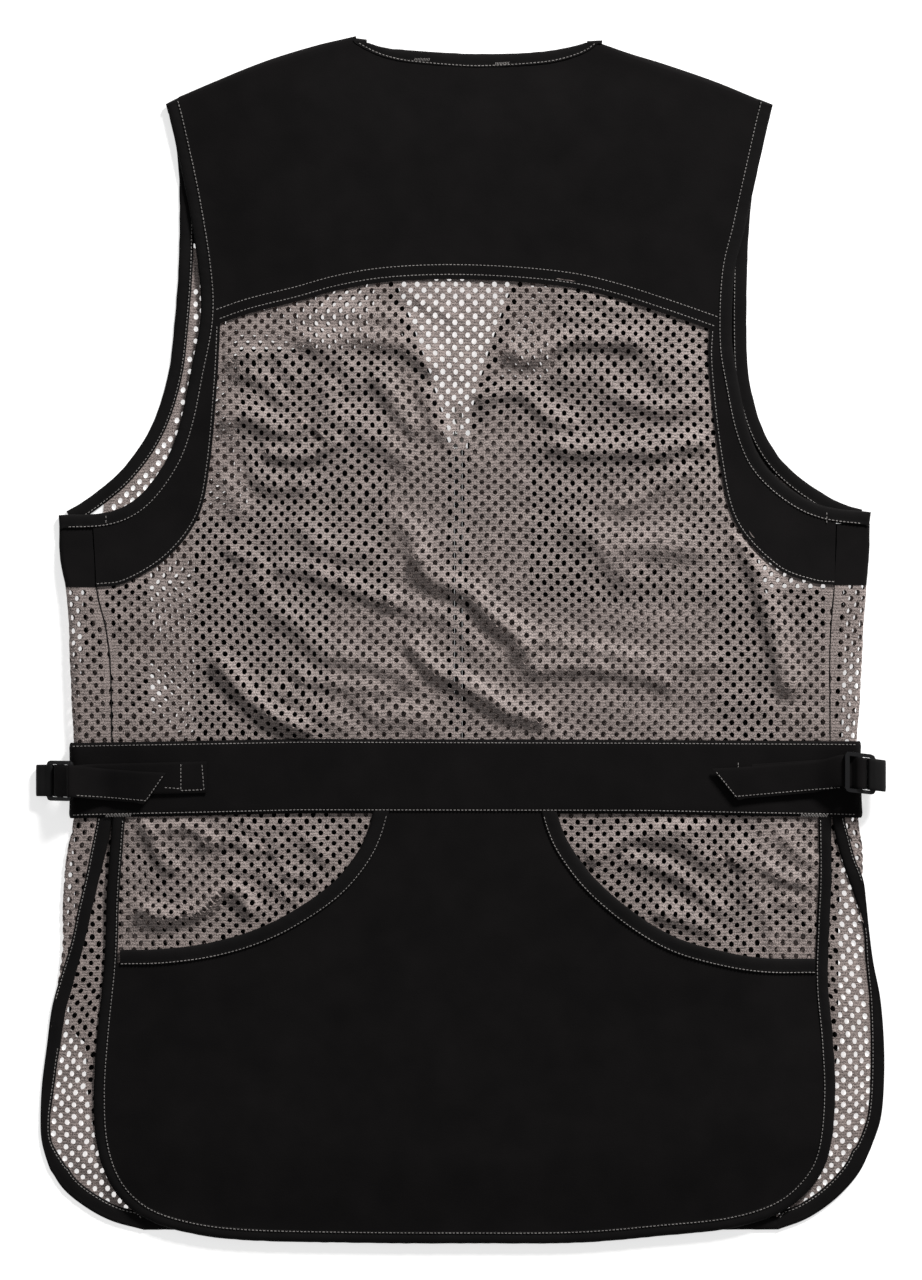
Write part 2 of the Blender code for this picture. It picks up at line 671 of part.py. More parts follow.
def wrapped(name, slot, side, outline, top_x, floor_x, thickness):
    """A piece that runs from the floor round the side fold and back over the top."""
    height = wrap_height(side)
    lower, upper = [], []
    for (x, y), end_x, start_x in zip(outline, top_x, floor_x):
        reach = 4.0
        radius = (float(height(np.array(x - side * reach), np.array(y))) + thickness) / 2.0
        inner_row, outer_row = [], []
        for place in np.linspace(start_x, x - side * radius, 3)[:-1]:
            outer_row.append((place, y, 0.0))
            inner_row.append((place, y, thickness))
        for angle in np.linspace(-90.0, 90.0, FOLD_STEPS + 1):
            cosine, sine = math.cos(math.radians(angle)), math.sin(math.radians(angle))
            outer_row.append((x - side * radius * (1 - cosine), y, radius * (1 + sine)))
            small = radius - thickness
            inner_row.append((x - side * (radius - small * cosine), y, radius + small * sine))
        for place in np.linspace(x - side * radius, end_x, 3)[1:]:
            level = float(height(np.array(place), np.array(y)))
            outer_row.append((place, y, level + thickness))
            inner_row.append((place, y, level))
        lower.append(inner_row)
        upper.append(outer_row)
    return wall(name, slot, np.array(lower), np.array(upper))


def at_y(path, y):
    """X of a path that runs downwards, at some heights y."""
    return np.interp(y, path[::-1, 1], path[::-1, 0])


def build_side_wraps():
    for side, word in SIDES.items():
        top = float(ARM[side][-1, 1]) - ARMHOLE_BAND - SEAM
        cut = float(CURVE[side][-1, 1])
        y = np.linspace(top, cut + SEAM, 4)
        outline = np.column_stack((at_y(SIDE[side], y), y))
        seam = at_y(SEAMS[side], y) + side * SEAM
        floor = np.full(len(y), SIDE_PANEL_X[side])
        wrapped(f"armhole_side_{word}", "black_cloth", side, outline, seam, floor, CLOTH)
        y = np.concatenate((np.linspace(cut, -118.0, 11), np.linspace(-126.0, WRAP_END_Y[side], 8)))
        outline = np.column_stack((at_y(SIDE[side], y), y))
        vent_y = [row.y for row in VENT[side]][::-1]
        vent_x = [row.outer for row in VENT[side]][::-1]
        bound = np.interp(y, vent_y, vent_x) + side * SEAM
        end = np.where(y > -119.0, at_y(SEAMS[side], y) + side * SEAM, bound)
        radius = (wrap_height(side)(outline[:, 0], y) + MESH) / 2.0
        end = side * np.minimum(side * end, side * outline[:, 0] - radius - 1.0)
        floor = np.full(len(y), SIDE_PANEL_X[side])
        wrapped(f"front_side_mesh_{word}", "grey_mesh", side, outline, end, floor, MESH)


def build_belt():
    """The waist belt. Its ends turn down round the side folds."""
    lower, upper = [], []
    for share in np.linspace(0.0, 1.0, 5):
        ends, radii = {}, {}
        for side in SIDES:
            y = belt_edge(side * 272.0, False) * (1 - share) + belt_edge(side * 272.0, True) * share
            ends[side] = float(at_y(SIDE[side], y)) + side * SEAM
            radii[side] = (float(lift(np.array(ends[side] - side * 4.0), np.array(y))) + MESH) / 2.0
        x = np.linspace(ends[-1] + radii[-1], ends[1] - radii[1], 33)
        y = belt_edge(x, False) * (1 - share) + belt_edge(x, True) * share
        level = belt_lift(x, y)
        row = [np.column_stack((x, y, level)), np.column_stack((x, y, level + BELT))]
        for side in SIDES:
            end = 0 if side < 0 else -1
            base = level[end] - BELT_GAP
            for angle in (60.0, 30.0, 0.0, -22.0):
                cosine, sine = math.cos(math.radians(angle)), math.sin(math.radians(angle))
                for k, extra in enumerate((BELT_GAP, BELT_GAP + BELT)):
                    reach = base / 2.0 + extra
                    made = (x[end] + side * reach * cosine, y[end], base / 2.0 + reach * sine)
                    row[k] = np.vstack((made, row[k])) if side < 0 else np.vstack((row[k], made))
        lower.append(row[0])
        upper.append(row[1])
    return wall("belt", "black_cloth", np.array(lower), np.array(upper))


# Front layer, flat on the floor


def build_front_bindings():
    for side, word in SIDES.items():
        path = smooth(FRONT_ARMHOLE[side])
        inner = offset(path, -side * ARMHOLE_BAND)
        keep = (path[:, 1] < 368.0) & (side * path[:, 0] < side * path[-1, 0] - 8.5)
        first, second = evenly(path[keep], 20), evenly(inner[keep], 20)
        name = f"armhole_binding_front_{word}"
        band(name, "black_binding", first, second, flat_height(0.0), EDGE_BINDING)
        path = smooth(V_EDGE[side])
        outer = offset(path, side * V_BAND)
        first, second = evenly(path, 14), evenly(outer, 14)
        band(f"v_binding_{word}", "black_binding", first, second, flat_height(0.0), EDGE_BINDING)
        build_vent_binding(side, word)
    low, high = FRONT_CORNER[-1][-1][0] + SEAM, FRONT_CORNER[1][-1][0] - SEAM
    across = np.linspace(low, high, 3)
    first = np.column_stack((across, np.full(3, FRONT_HEM_Y)))
    second = first + [0.0, VENT_BAND]
    band("front_hem_binding", "black_binding", first, second, flat_height(0.0), EDGE_BINDING)


def vent_rows(side):
    """Inner edge, outer edge and height of the front's vent binding, down to the hem."""
    rows = VENT[side]
    inner = [(row.inner, row.y) for row in rows]
    outer = [(row.outer, row.y) for row in rows]
    corner = smooth(FRONT_CORNER[side], 6)[1:]
    turned = offset(smooth(FRONT_CORNER[side], 6), -side * VENT_BAND)[1:]
    turned[-1] = (corner[-1][0], FRONT_HEM_Y + VENT_BAND)
    under = [row.under for row in rows] + [0.0] * len(corner)
    return np.vstack((inner, turned)), np.vstack((outer, corner)), np.array(under)


def build_vent_binding(side, word):
    inner, outer, under = vent_rows(side)
    flat = np.stack((inner, outer), axis=1)
    level = np.repeat(under[:, None], 2, axis=1)
    lower, upper = np.dstack((flat, level)), np.dstack((flat, level + EDGE_BINDING))
    wall(f"front_vent_binding_{word}", "black_binding", lower, upper)


def below(path, y):
    return [tuple(place) for place in path if place[1] < y]


def build_front_panels():
    """Flat plates. Each outline is listed counterclockwise, with the edges that two plates share alike."""
    inset = SEAM / 2
    zip_edge = CHAIN_HALF + SEAM + TAPE_WIDTH + inset
    arm, vee, vent, under = {}, {}, {}, {}
    hem = FRONT_HEM_Y + VENT_BAND + inset
    for side in SIDES:
        arm[side] = offset(smooth(FRONT_ARMHOLE[side]), -side * (ARMHOLE_BAND + 3.0 * inset))
        vee[side] = offset(smooth(V_EDGE[side]), side * (V_BAND + 3.0 * inset))
        moved = offset(vent_rows(side)[0], side * inset)
        vent[side] = [tuple(p) for p in moved if p[1] < WRAP_END_Y[side] - 2.0]
        under[side] = offset(smooth(SHOULDER[side], 8), side * (TURN_UNDER + inset))

    def stretch(path, high, low, limit, count):
        """Points on the stretch of a path between two heights, no further out than limit."""
        def keep(x, y):
            return (y < high) & (y > low) & (np.abs(x) < limit)

        return [tuple(p) for p in part_of(path, keep, count)]

    def arm_part(side, high, low, count):
        return stretch(arm[side], high, low, abs(SIDE_PANEL_X[side]) - SEAM, count)

    def vee_part(side, high, low, count):
        return stretch(vee[side], high, low, abs(SIDE_PANEL_X[side]), count)

    cut = FRONT_YOKE_Y
    # Left: yoke, mesh from the chest down the side, cloth panel
    shoulder = [tuple(p) for p in under[-1]]
    side_x = SIDE_PANEL_X[-1] + inset
    chest_y, pocket_x, patch_x = 199.0, -182.0, -152.0
    plate("front_yoke_left", "black_cloth",
          arm_part(-1, shoulder[0][1] - 1.0, cut, 6) + vee_part(-1, shoulder[-1][1] - 4.0, cut, 6)[::-1]
          + shoulder[::-1], CLOTH)
    centre_left = ZIP_X - zip_edge
    black_edge = [(patch_x, chest_y), (patch_x, 137.0), (-137.0, 84.0), (pocket_x, 80.0), (pocket_x, hem)]
    vee_low = vee_part(-1, chest_y, 145.0, 4)
    plate("front_panel_left", "black_cloth",
          black_edge + [(centre_left, hem), (centre_left, 140.0), (vee_low[-1][0], 141.0)] + vee_low[::-1]
          + [(vee_low[0][0], chest_y)], CLOTH)
    mesh_outline = (
        [(vee_low[0][0] - 0.01, chest_y)] + vee_part(-1, cut, chest_y, 3)[::-1]
        + arm_part(-1, cut, 78.0, 12)
        + [(side_x, 90.0), (side_x, WRAP_END_Y[-1] - SEAM)] + vent[-1]
        + black_edge[::-1]
    )
    plate("front_mesh_left", "grey_mesh", mesh_outline, MESH)

    # Right: yoke, shoulder patch, mesh strip beside the neck, cloth panel, side mesh
    shoulder = [tuple(p) for p in under[1]]
    side_x = SIDE_PANEL_X[1] - inset
    strip_x, strip_y, patch_y, chest_x, pocket_y, pocket_x = 67.0, 180.0, 115.0, 91.0, 28.0, 217.0
    plate("front_yoke_right", "black_cloth",
          shoulder + vee_part(1, shoulder[-1][1] - 4.0, cut, 6)
          + arm_part(1, shoulder[0][1] - 1.0, cut, 6)[::-1], CLOTH)
    arm_high = arm_part(1, cut, patch_y, 8)
    plate("shoulder_patch", "black_cloth",
          [(strip_x, cut), (strip_x, patch_y)] + [(arm_high[-1][0], patch_y)] + arm_high[::-1], CLOTH)
    vee_high = vee_part(1, cut, strip_y, 4)
    plate("front_mesh_chest", "grey_mesh",
          vee_high + [(vee_high[-1][0], strip_y), (strip_x, strip_y), (strip_x, cut)], MESH)
    centre_right = ZIP_X + zip_edge
    vee_low = vee_part(1, strip_y, 145.0, 4)
    black_right = [(strip_x, strip_y), (strip_x, patch_y), (chest_x, patch_y), (chest_x, pocket_y),
                   (pocket_x, pocket_y), (pocket_x, hem)]
    plate("front_panel_right", "black_cloth",
          vee_low + [(vee_low[-1][0], 141.0), (centre_right, 140.0), (centre_right, hem)]
          + black_right[::-1], CLOTH)
    arm_low = arm_part(1, patch_y, 80.0, 5)
    plate("front_mesh_right", "grey_mesh",
          [(pocket_x, hem), *vent[1][::-1], (side_x, WRAP_END_Y[1] - SEAM), (side_x, 88.0)]
          + arm_low[::-1] + [(arm_low[0][0], patch_y), (chest_x, patch_y), (chest_x, pocket_y),
                             (pocket_x, pocket_y)], MESH)


def box(name, slot, low, high):
    outline = [(low[0], low[1]), (high[0], low[1]), (high[0], high[1]), (low[0], high[1])]
    return plate(name, slot, outline, high[2] - low[2], low[2])


def build_zip():
    inset = SEAM / 2
    foot = FRONT_HEM_Y + VENT_BAND + inset
    head = ZIP_TOP_Y
    for side, word in SIDES.items():
        near = ZIP_X + side * (CHAIN_HALF + inset)
        far = ZIP_X + side * (CHAIN_HALF + SEAM + TAPE_WIDTH + inset)
        low, high = min(near, far), max(near, far)
        box(f"zip_tape_{word}", "black_binding", (low, foot, 0.0), (high, head, ZIP_TAPE))
    reach = CHAIN_HALF + inset
    box("zip_chain", "black_plastic", (ZIP_X - reach, foot, 0.0), (ZIP_X + reach, head, ZIP_CHAIN))
    build_slider(head + inset)


def build_slider(foot):
    """A slider body with two ears and a pin, as one solid, and the pull that swings on the pin."""
    top = foot + SLIDER_LENGTH
    pin_y = top + EYE_RADIUS + 0.5
    ear_far = pin_y + 1.4
    ear_in, ear_out = PULL_HALF + SEAM, PULL_HALF + SEAM + 1.3
    outline = [
        (-3.4, foot), (3.4, foot), (SLIDER_HALF, foot + 4.0), (SLIDER_HALF, top - 2.0), (ear_out, top),
        (ear_out, ear_far), (ear_in, ear_far), (ear_in, top), (-ear_in, top), (-ear_in, ear_far),
        (-ear_out, ear_far), (-ear_out, top), (-SLIDER_HALF, top - 2.0), (-SLIDER_HALF, foot + 4.0),
    ]
    body = plate("zip_slider", "zip_metal", [(ZIP_X + x, y) for x, y in outline], SLIDER_HEIGHT)
    pin = rod("slider_pin", "zip_metal", PIN_RADIUS, ear_in + 0.8, pin_y)
    join = body.modifiers.new("pin", "BOOLEAN")
    join.operation = "UNION"
    join.object = pin
    pin.hide_render = True
    pin.display_type = "WIRE"
    build_pull(pin_y)


def rod(name, slot, radius, half, y):
    """A round bar along X at the height of the pull's axis."""
    sides = 12
    angles = np.linspace(0, 2 * math.pi, sides + 1)[:-1]
    ring = [(radius * math.cos(a), radius * math.sin(a)) for a in angles]
    vertices = [(ZIP_X + end, y + c, PIN_Z + s) for end in (-half, half) for c, s in ring]
    faces = [list(range(sides)), list(range(2 * sides - 1, sides - 1, -1))]
    faces += [[k, sides + k, sides + (k + 1) % sides, (k + 1) % sides] for k in range(sides)]
    return make_object(name, slot, vertices, faces)


def build_pull(pin_y):
    """The pull: an eye round the pin and a tab that lies in the open neck, with its origin on the axis."""
    sides = 16
    angles = np.linspace(0.0, 2 * math.pi, sides + 1)[:-1]
    tab_low, tab_high = 0.25, 0.25 + PULL_THICK
    ring = [(EYE_RADIUS * math.cos(a), PIN_Z + EYE_RADIUS * math.sin(a)) for a in angles]
    hole = [(EYE_HOLE * math.cos(a), PIN_Z + EYE_HOLE * math.sin(a)) for a in angles]
    vertices, faces = [], []
    for x in (-PULL_HALF, PULL_HALF):
        vertices += [(ZIP_X + x, pin_y + y, z) for y, z in ring + hole]
    total = 2 * sides
    for k in range(sides):
        n = (k + 1) % sides
        faces.append([k, n, sides + n, sides + k])
        faces.append([total + k, total + sides + k, total + sides + n, total + n])
        faces.append([k, total + k, total + n, n])
        faces.append([sides + k, sides + n, total + sides + n, total + sides + k])
    eye = make_object("zip_pull", "zip_metal", vertices, faces)
    near, neck, far = pin_y + 1.05, pin_y + 4.0, pin_y + PULL_LENGTH
    outline = [
        (-PULL_HALF, near), (PULL_HALF, near), (PULL_HALF, neck), (PULL_WIDE_HALF, neck + 3.0),
        (PULL_WIDE_HALF, far - 2.0), (PULL_WIDE_HALF - 1.5, far), (1.5 - PULL_WIDE_HALF, far),
        (-PULL_WIDE_HALF, far - 2.0), (-PULL_WIDE_HALF, neck + 3.0), (-PULL_HALF, neck),
    ]
    tab = plate("pull_tab", "zip_metal", [(ZIP_X + x, y) for x, y in outline], tab_high - tab_low, tab_low)
    join = eye.modifiers.new("tab", "BOOLEAN")
    join.operation = "UNION"
    join.object = tab
    tab.hide_render = True
    tab.display_type = "WIRE"


# Straps and buckles

# A place beside a buckle: u runs outwards along it, w is its height. Straps follow these places.
ROUND_BARS = {
    -1: (
        (-13.0, -3.1), (-8.0, -3.0), (-3.0, -2.9), (0.6, -2.8), (3.1, -1.9), (3.6, 0.2), (2.9, 2.3),
        (0.4, 3.0), (-3.0, 3.0), (-9.0, 3.0), (-13.0, 2.7),
    ),
    1: (
        (-13.0, -4.5), (-6.0, -4.5), (-1.0, -4.0), (2.4, -2.8), (3.5, -0.4), (3.0, 2.1), (0.6, 3.0),
        (-1.8, 2.2), (-3.4, 0.0), (-5.2, -2.2), (-7.5, -2.8), (-10.0, -2.8), (-13.0, -2.8),
    ),
}
WEBBING_ROUND_BAR = ((11.2, 3.2), (8.8, 2.7), (6.6, 1.7), (6.0, -0.4), (7.0, -2.5), (9.4, -2.9))

# out and z are the buckle's middle, tilt its slope down and outwards, skew the straps' drift in y
Buckle = namedtuple("Buckle", "out z y tilt skew anchor_out anchor_y tip_out tip_y slant join_out")
BUCKLES = {
    -1: Buckle(279.3, 10.8, -98.5, 35.0, 0.0, 177.0, -96.0, 213.0, -104.0, -8.0, 252.0),
    1: Buckle(278.0, 16.2, -93.0, 12.0, 0.12, 203.0, -98.0, 184.5, -101.0, -9.0, 250.0),
}
WEBBING_START = {
    -1: ((277.0, 1.5), (283.0, 0.9), (290.0, 0.9), (294.6, 1.9), (296.2, 4.2), (294.4, 6.4)),
    1: ((283.0, 2.6), (289.0, 4.4), (294.0, 8.4), (296.0, 12.6), (293.6, 15.6)),
}


def beside_buckle(buckle, u, w):
    turn = math.radians(buckle.tilt)
    out = buckle.out + u * math.cos(turn) + w * math.sin(turn)
    return out, buckle.z - u * math.sin(turn) + w * math.cos(turn)


def ribbon(name, slot, side, rows, count, slant=0.0):
    """A strap of even width along rows of out, z, y and how much of the belt's slope it follows."""
    fine = smooth(rows, 600)
    step = np.linalg.norm(np.diff(fine[:, :2], axis=0), axis=1) * (1.0 + 4.0 * (1.0 - fine[1:, 3]))
    along = np.concatenate(([0.0], np.cumsum(step)))
    wanted = np.linspace(0.0, along[-1], count + 1)
    path = np.column_stack([np.interp(wanted, along, fine[:, k]) for k in range(4)])
    way = np.gradient(path[:, :2], axis=0)
    way /= np.linalg.norm(way, axis=1)[:, None]
    across = np.column_stack((-way[:, 1], way[:, 0])) * STRAP / 2.0
    half = STRAP_WIDTH / 2.0
    grids = []
    for sign in (-1.0, 1.0):
        made = []
        for k, (out, z, y, share) in enumerate(path):
            shift = slant if k == count else 0.0
            row = []
            for edge in (-1.0, 0.0, 1.0):
                x = side * (out + sign * across[k, 0] + edge * shift)
                here = y + edge * half
                drop = float(belt_lift(np.array(x), np.array(here)) - belt_lift(np.array(x), np.array(y)))
                row.append((x, here, z + sign * across[k, 1] + np.clip(share, 0.0, 1.0) * drop))
            made.append(row)
        grids.append(np.array(made))
    return wall(name, slot, grids[0], grids[1])


def build_straps():
    first, second = 2.0 * SEAM + STRAP / 2.0, 3.5 * SEAM + 1.5 * STRAP
    for side, word in SIDES.items():
        buckle = BUCKLES[side]

        def on_belt(out, level, end_out, end_y, side=side, buckle=buckle):
            y = np.interp(out, (end_out, buckle.out), (end_y, buckle.y))
            base = float(belt_lift(np.array(side * out), np.array(y))) + BELT
            return (out, base + level, y, 1.0)

        def at_buckle(out, z, side=side, buckle=buckle):
            return (out, z, buckle.y - buckle.skew * (out - buckle.out) * side, 0.0)

        rows = [on_belt(out, first, buckle.anchor_out, buckle.anchor_y)
                for out in np.linspace(buckle.anchor_out, buckle.join_out, 5)]
        rows.append(on_belt(buckle.join_out + 6.0, first + 1.0, buckle.anchor_out, buckle.anchor_y))
        rows += [at_buckle(*beside_buckle(buckle, u, w)) for u, w in ROUND_BARS[side]]
        rows += [on_belt(out, second, buckle.tip_out, buckle.tip_y)
                 for out in np.linspace(buckle.join_out - 2.0, buckle.tip_out, 4)]
        ribbon(f"strap_{word}", "black_cloth", side, rows, 64, buckle.slant)
        rows = [at_buckle(out, z) for out, z in WEBBING_START[side]]
        rows += [at_buckle(*beside_buckle(buckle, u, w)) for u, w in WEBBING_ROUND_BAR]
        ribbon(f"webbing_{word}", "black_webbing", side, rows, 26)
        build_buckle(side, word, buckle)


def build_buckle(side, word, buckle):
    """A three-bar slide buckle: two rails and three bars, with a slot on each side of the middle bar."""
    bar, slot = BUCKLE_BAR, BUCKLE_SLOT
    half = 1.5 * bar + slot
    along = [-half, -half + bar, -bar / 2, bar / 2, half - bar, half]
    edge = BUCKLE_WIDTH / 2
    across = [-edge, BUCKLE_RAIL - edge, edge - BUCKLE_RAIL, edge]
    grids = []
    for w in (-BUCKLE_THICK / 2, BUCKLE_THICK / 2):
        rows = []
        for i, u in enumerate(along):
            row = []
            for j, v in enumerate(across):
                corner = i in (0, 5) and j in (0, 3)
                out, z = beside_buckle(buckle, u * (0.9 if corner else 1.0), w)
                y = buckle.y + v * (0.95 if corner else 1.0) - buckle.skew * (out - buckle.out) * side
                row.append((side * out, y, z))
            rows.append(row)
        grids.append(np.array(rows))
    wall(f"buckle_{word}", "black_plastic", grids[0], grids[1], holes={(1, 1), (3, 1)})


def main():
    for old in list(bpy.data.objects):
        bpy.data.objects.remove(old, do_unlink=True)
    build_yoke()
    build_neck_binding()
    build_back_mesh()
    build_lower_mesh()
    build_pouch()
    build_scoop_bindings()
    build_back_bindings()
    build_facings()
    build_armhole_bindings()
    build_side_wraps()
    build_belt()
    build_front_bindings()
    build_front_panels()
    build_zip()
    build_straps()


main()
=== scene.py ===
"""A shooting vest laid flat with its back up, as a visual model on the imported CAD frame.

Sizes are in millimetres in the functions and become metres when a mesh is made. +X is to the right, +Y
towards the neck and +Z up. The front lies on the floor, the back on the front.
"""

import json
import math
from collections import namedtuple

import bpy
import numpy as np
from mathutils.bvhtree import BVHTree
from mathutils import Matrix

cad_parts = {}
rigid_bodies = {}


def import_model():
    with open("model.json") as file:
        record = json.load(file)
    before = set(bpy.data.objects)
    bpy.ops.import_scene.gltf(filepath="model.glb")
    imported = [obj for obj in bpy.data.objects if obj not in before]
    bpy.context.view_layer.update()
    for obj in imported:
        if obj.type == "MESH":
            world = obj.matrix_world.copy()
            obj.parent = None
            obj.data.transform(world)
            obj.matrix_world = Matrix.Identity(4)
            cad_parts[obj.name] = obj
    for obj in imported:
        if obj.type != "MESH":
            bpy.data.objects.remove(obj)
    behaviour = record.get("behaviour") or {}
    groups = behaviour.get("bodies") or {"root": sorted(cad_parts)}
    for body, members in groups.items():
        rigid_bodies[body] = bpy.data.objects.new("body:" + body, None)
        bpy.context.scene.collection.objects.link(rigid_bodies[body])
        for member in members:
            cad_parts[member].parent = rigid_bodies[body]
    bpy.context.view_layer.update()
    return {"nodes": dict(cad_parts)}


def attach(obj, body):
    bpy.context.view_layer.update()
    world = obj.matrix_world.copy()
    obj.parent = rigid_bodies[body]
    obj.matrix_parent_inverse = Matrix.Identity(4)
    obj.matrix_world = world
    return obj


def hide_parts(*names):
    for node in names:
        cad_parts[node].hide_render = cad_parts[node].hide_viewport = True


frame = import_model()

MM = 0.001

# Thicknesses, and how high the back lies at its free edges and in its middle
CLOTH = 1.1
MESH = 0.8
TAPE = 2.0
NECK_TAPE = 2.4
ARM_TAPE = 2.3
SCOOP_TAPE = 2.2
BACK_TAPE = 3.2
FRONT_TAPE = 2.1
BELT = 2.0
STRAP = 1.2
EDGE_REST = 2.6
MIDDLE_LIFT = 7.6
RISE_RUN = 62.0

# Mesh lattice: half the way between neighbouring holes, a hole's half sizes, how far inside the border a
# hole's middle is at least, how far uneven tension pulls the lattice about, and where the border stops
# that, and how far the knit's bars are apart
LATTICE = (4.5, 4.3)
HOLE_X = 1.75
HOLE_Y = 2.05
HOLE_ROOM = 3.0
PULL = 3.0
PULL_RUN = 26.0
BAR_PITCH = 1.1

# How wide the bound edges are, and how far cloth goes on under what covers it
ARMHOLE_BAND = 10.0
SCOOP_BAND = 11.0
VENT_BAND = 9.0
CORNER_BAND = 11.5
V_BAND = 9.0
TURN_UNDER = 15.0
END_TURN = 4.0
UNDER_EDGE = 6.0
HIDDEN = 3.0

# Heights on the vest: the belt's two edges, where the vents and the pouch come out, and the front's hem
BELT_HIGH_Y = -72.0
BELT_LOW_Y = -122.0
BELOW_BELT_Y = -124.0
FRONT_HEM_Y = -413.0

# Stitches
STITCH_PITCH = 2.6
STITCH_LENGTH = 1.5
STITCH_WIDTH = 0.56
STITCH_RISE = 0.3
ARMHOLE_ROW = 8.6
STITCH_PROFILE = ((-0.5, -0.6), (-0.5, 0.35), (-0.25, 1.0), (0.25, 1.0), (0.5, 0.35), (0.5, -0.6))
STITCH_RINGS = ((-0.5, 0.45), (-0.3, 0.0), (0.3, 0.0), (0.5, 0.45))

# The outlines and seams that the photograph shows, as X and Y. -1 is the left side and 1 the right.
NECK_EDGE = (
    (-65.5, 418), (-62, 416.5), (-54, 414), (-42, 412.5), (-14, 410.5), (10, 409.5), (38, 409.8), (56, 411),
    (73, 413.5), (85, 416.5), (88.5, 418),
)
NECK_SEAM = (
    (-76, 418), (-71, 414.5), (-58, 408), (-42, 403.5), (-21, 401), (12, 399), (51, 401), (71, 404),
    (88, 410), (99, 418),
)
SHOULDER = {
    -1: ((-193.5, 381), (-172, 390), (-137, 404), (-102, 415), (-81, 420.2)),
    1: ((206.5, 378.6), (178, 390), (143, 402), (120.5, 409), (103.5, 415)),
}
BACK_ARMHOLE = {
    -1: (
        (-206, 374.5), (-201.5, 357), (-191, 308), (-183, 257), (-182, 224), (-189, 186), (-196, 152),
        (-206, 125), (-225, 100), (-247, 89), (-281, 87),
    ),
    1: (
        (218.5, 374), (214.3, 357), (204.5, 313), (198.5, 286), (191.5, 255), (190, 210), (194.5, 179),
        (202, 145), (213, 122), (234, 103), (256, 93), (287, 89),
    ),
}
SHOULDER_RISE = {-1: 2.6, 1: 1.6}
FRONT_ARMHOLE = {
    -1: (
        (-203, 369), (-200.5, 358), (-197, 322), (-197, 270), (-200, 224), (-205, 184), (-217, 148),
        (-237, 119), (-262, 98), (-281, 87),
    ),
    1: (
        (215.5, 369), (213, 358), (205.5, 322), (201, 270), (200.5, 200), (205, 168), (215, 140),
        (232, 118), (261, 98), (287, 89),
    ),
}
YOKE_EDGE = (
    (-172, 219.5), (-147, 228), (-114, 236), (-85, 244), (-52, 249.5), (-10, 251.5), (35, 250), (75, 246),
    (106, 239), (144, 227), (181, 214.5),
)
CRESCENT = {
    -1: ((-168, 219), (-170, 180), (-175, 123), (-183, 86), (-204, 58), (-233, 40), (-254, 36.5)),
    1: ((174, 216), (173.5, 191), (180, 131), (191, 83), (219, 51), (245, 40), (261, 38)),
}
SIDE_SEAM = {
    -1: ((-258, 87), (-254, 36.5), (-247, 5), (-244, -30), (-243, -118)),
    1: ((264, 91), (261, 38), (258, -4), (258, -60), (258.5, -118)),
}
SIDE_OUTLINE = {
    -1: ((-281, 87), (-280, 56), (-275, 28), (-273, -20), (-270.5, -80), (-271, -125),
         (-275, -146), (-278, -175), (-279, -218), (-282, -240), (-286.5, -262)),
    1: ((287, 89), (285.5, 56), (282.5, 20), (280, -30), (277, -80), (278.5, -125),
        (281.5, -145), (281.8, -168), (284.5, -196)),
}
BACK_EDGE = (
    (-243, -119), (-245, -144), (-247.5, -180), (-249, -225), (-254, -276), (-256.5, -318), (-254, -355),
    (-243, -384), (-222, -404), (-190, -415), (-150, -420), (-80, -421.8), (0, -422.3), (80, -421.8),
    (140, -417), (190, -411.5), (225, -400), (247, -381), (258, -358), (262, -320), (260.5, -280),
    (257, -240), (258, -200), (259.5, -165), (259, -119),
)
SCOOP = {
    -1: (
        (-238, -217), (-208, -216), (-175, -211.5), (-145, -203), (-118, -190), (-92, -172), (-75, -153),
        (-65, -134), (-58, -108),
    ),
    1: (
        (248, -223), (215, -222.5), (185, -218), (152, -208.5), (124, -192.5), (97, -170), (80, -149),
        (71, -132), (64, -108),
    ),
}
V_EDGE = {
    -1: ((-66, 396), (-63, 370), (-55, 300), (-44, 248), (-33, 219), (-21, 185), (-9, 147)),
    1: ((88, 394), (80, 362), (58, 300), (36, 248), (24, 215), (13, 180), (5, 147)),
}

# Where the front's bound vent edge lies: on the folded side at the top, at the outline further down
Vent = namedtuple("Vent", "y inner outer under")
VENT = {
    -1: tuple(Vent(*row) for row in (
        (-118, -242.8, -253.5, 2.8), (-127, -243.8, -254.5, 2.7), (-147, -247.5, -258.5, 2.6),
        (-169, -253, -263, 2.4), (-190, -258, -268, 2.2), (-212, -263, -272.5, 1.9),
        (-236, -269.5, -280, 1.5), (-258, -275, -286, 0.6), (-284, -280, -289.5, 0), (-312, -284, -293, 0),
        (-336, -287, -294, 0), (-352, -285.5, -293, 0), (-369, -275.5, -288, 0),
    )),
    1: tuple(Vent(*row) for row in (
        (-118, 259.3, 268, 2.7), (-127, 260.3, 269, 2.6), (-140, 263, 272.5, 2.3), (-153, 266.5, 276, 1.9),
        (-168, 271.5, 281.8, 1.5), (-184, 277, 284, 0.7), (-203, 282, 286, 0), (-226, 283.5, 289, 0),
        (-252, 286, 294, 0), (-284, 287, 296.5, 0), (-314, 286.5, 296.3, 0), (-336, 284, 294, 0),
        (-354, 277, 288, 0),
    )),
}
FRONT_CORNER = {
    -1: ((-288, -369), (-278, -384.5), (-262, -397.5), (-244, -407), (-222, FRONT_HEM_Y)),
    1: ((288, -354), (279, -373), (263, -391), (243, -405), (222, FRONT_HEM_Y)),
}
WRAP_END_Y = {-1: -262, 1: -196}
SIDE_PANEL_X = {-1: -250, 1: 255}

# The fold line runs on below the fold's end, only as the front mesh's own flat coordinate
FOLD_BELOW = {
    -1: ((-289.5, -284), (-293.5, -312), (-296.5, -336), (-301, -410)),
    1: ((287.5, -206), (291.5, -228), (295.5, -252), (298, -284), (299.5, -336), (301, -410)),
}

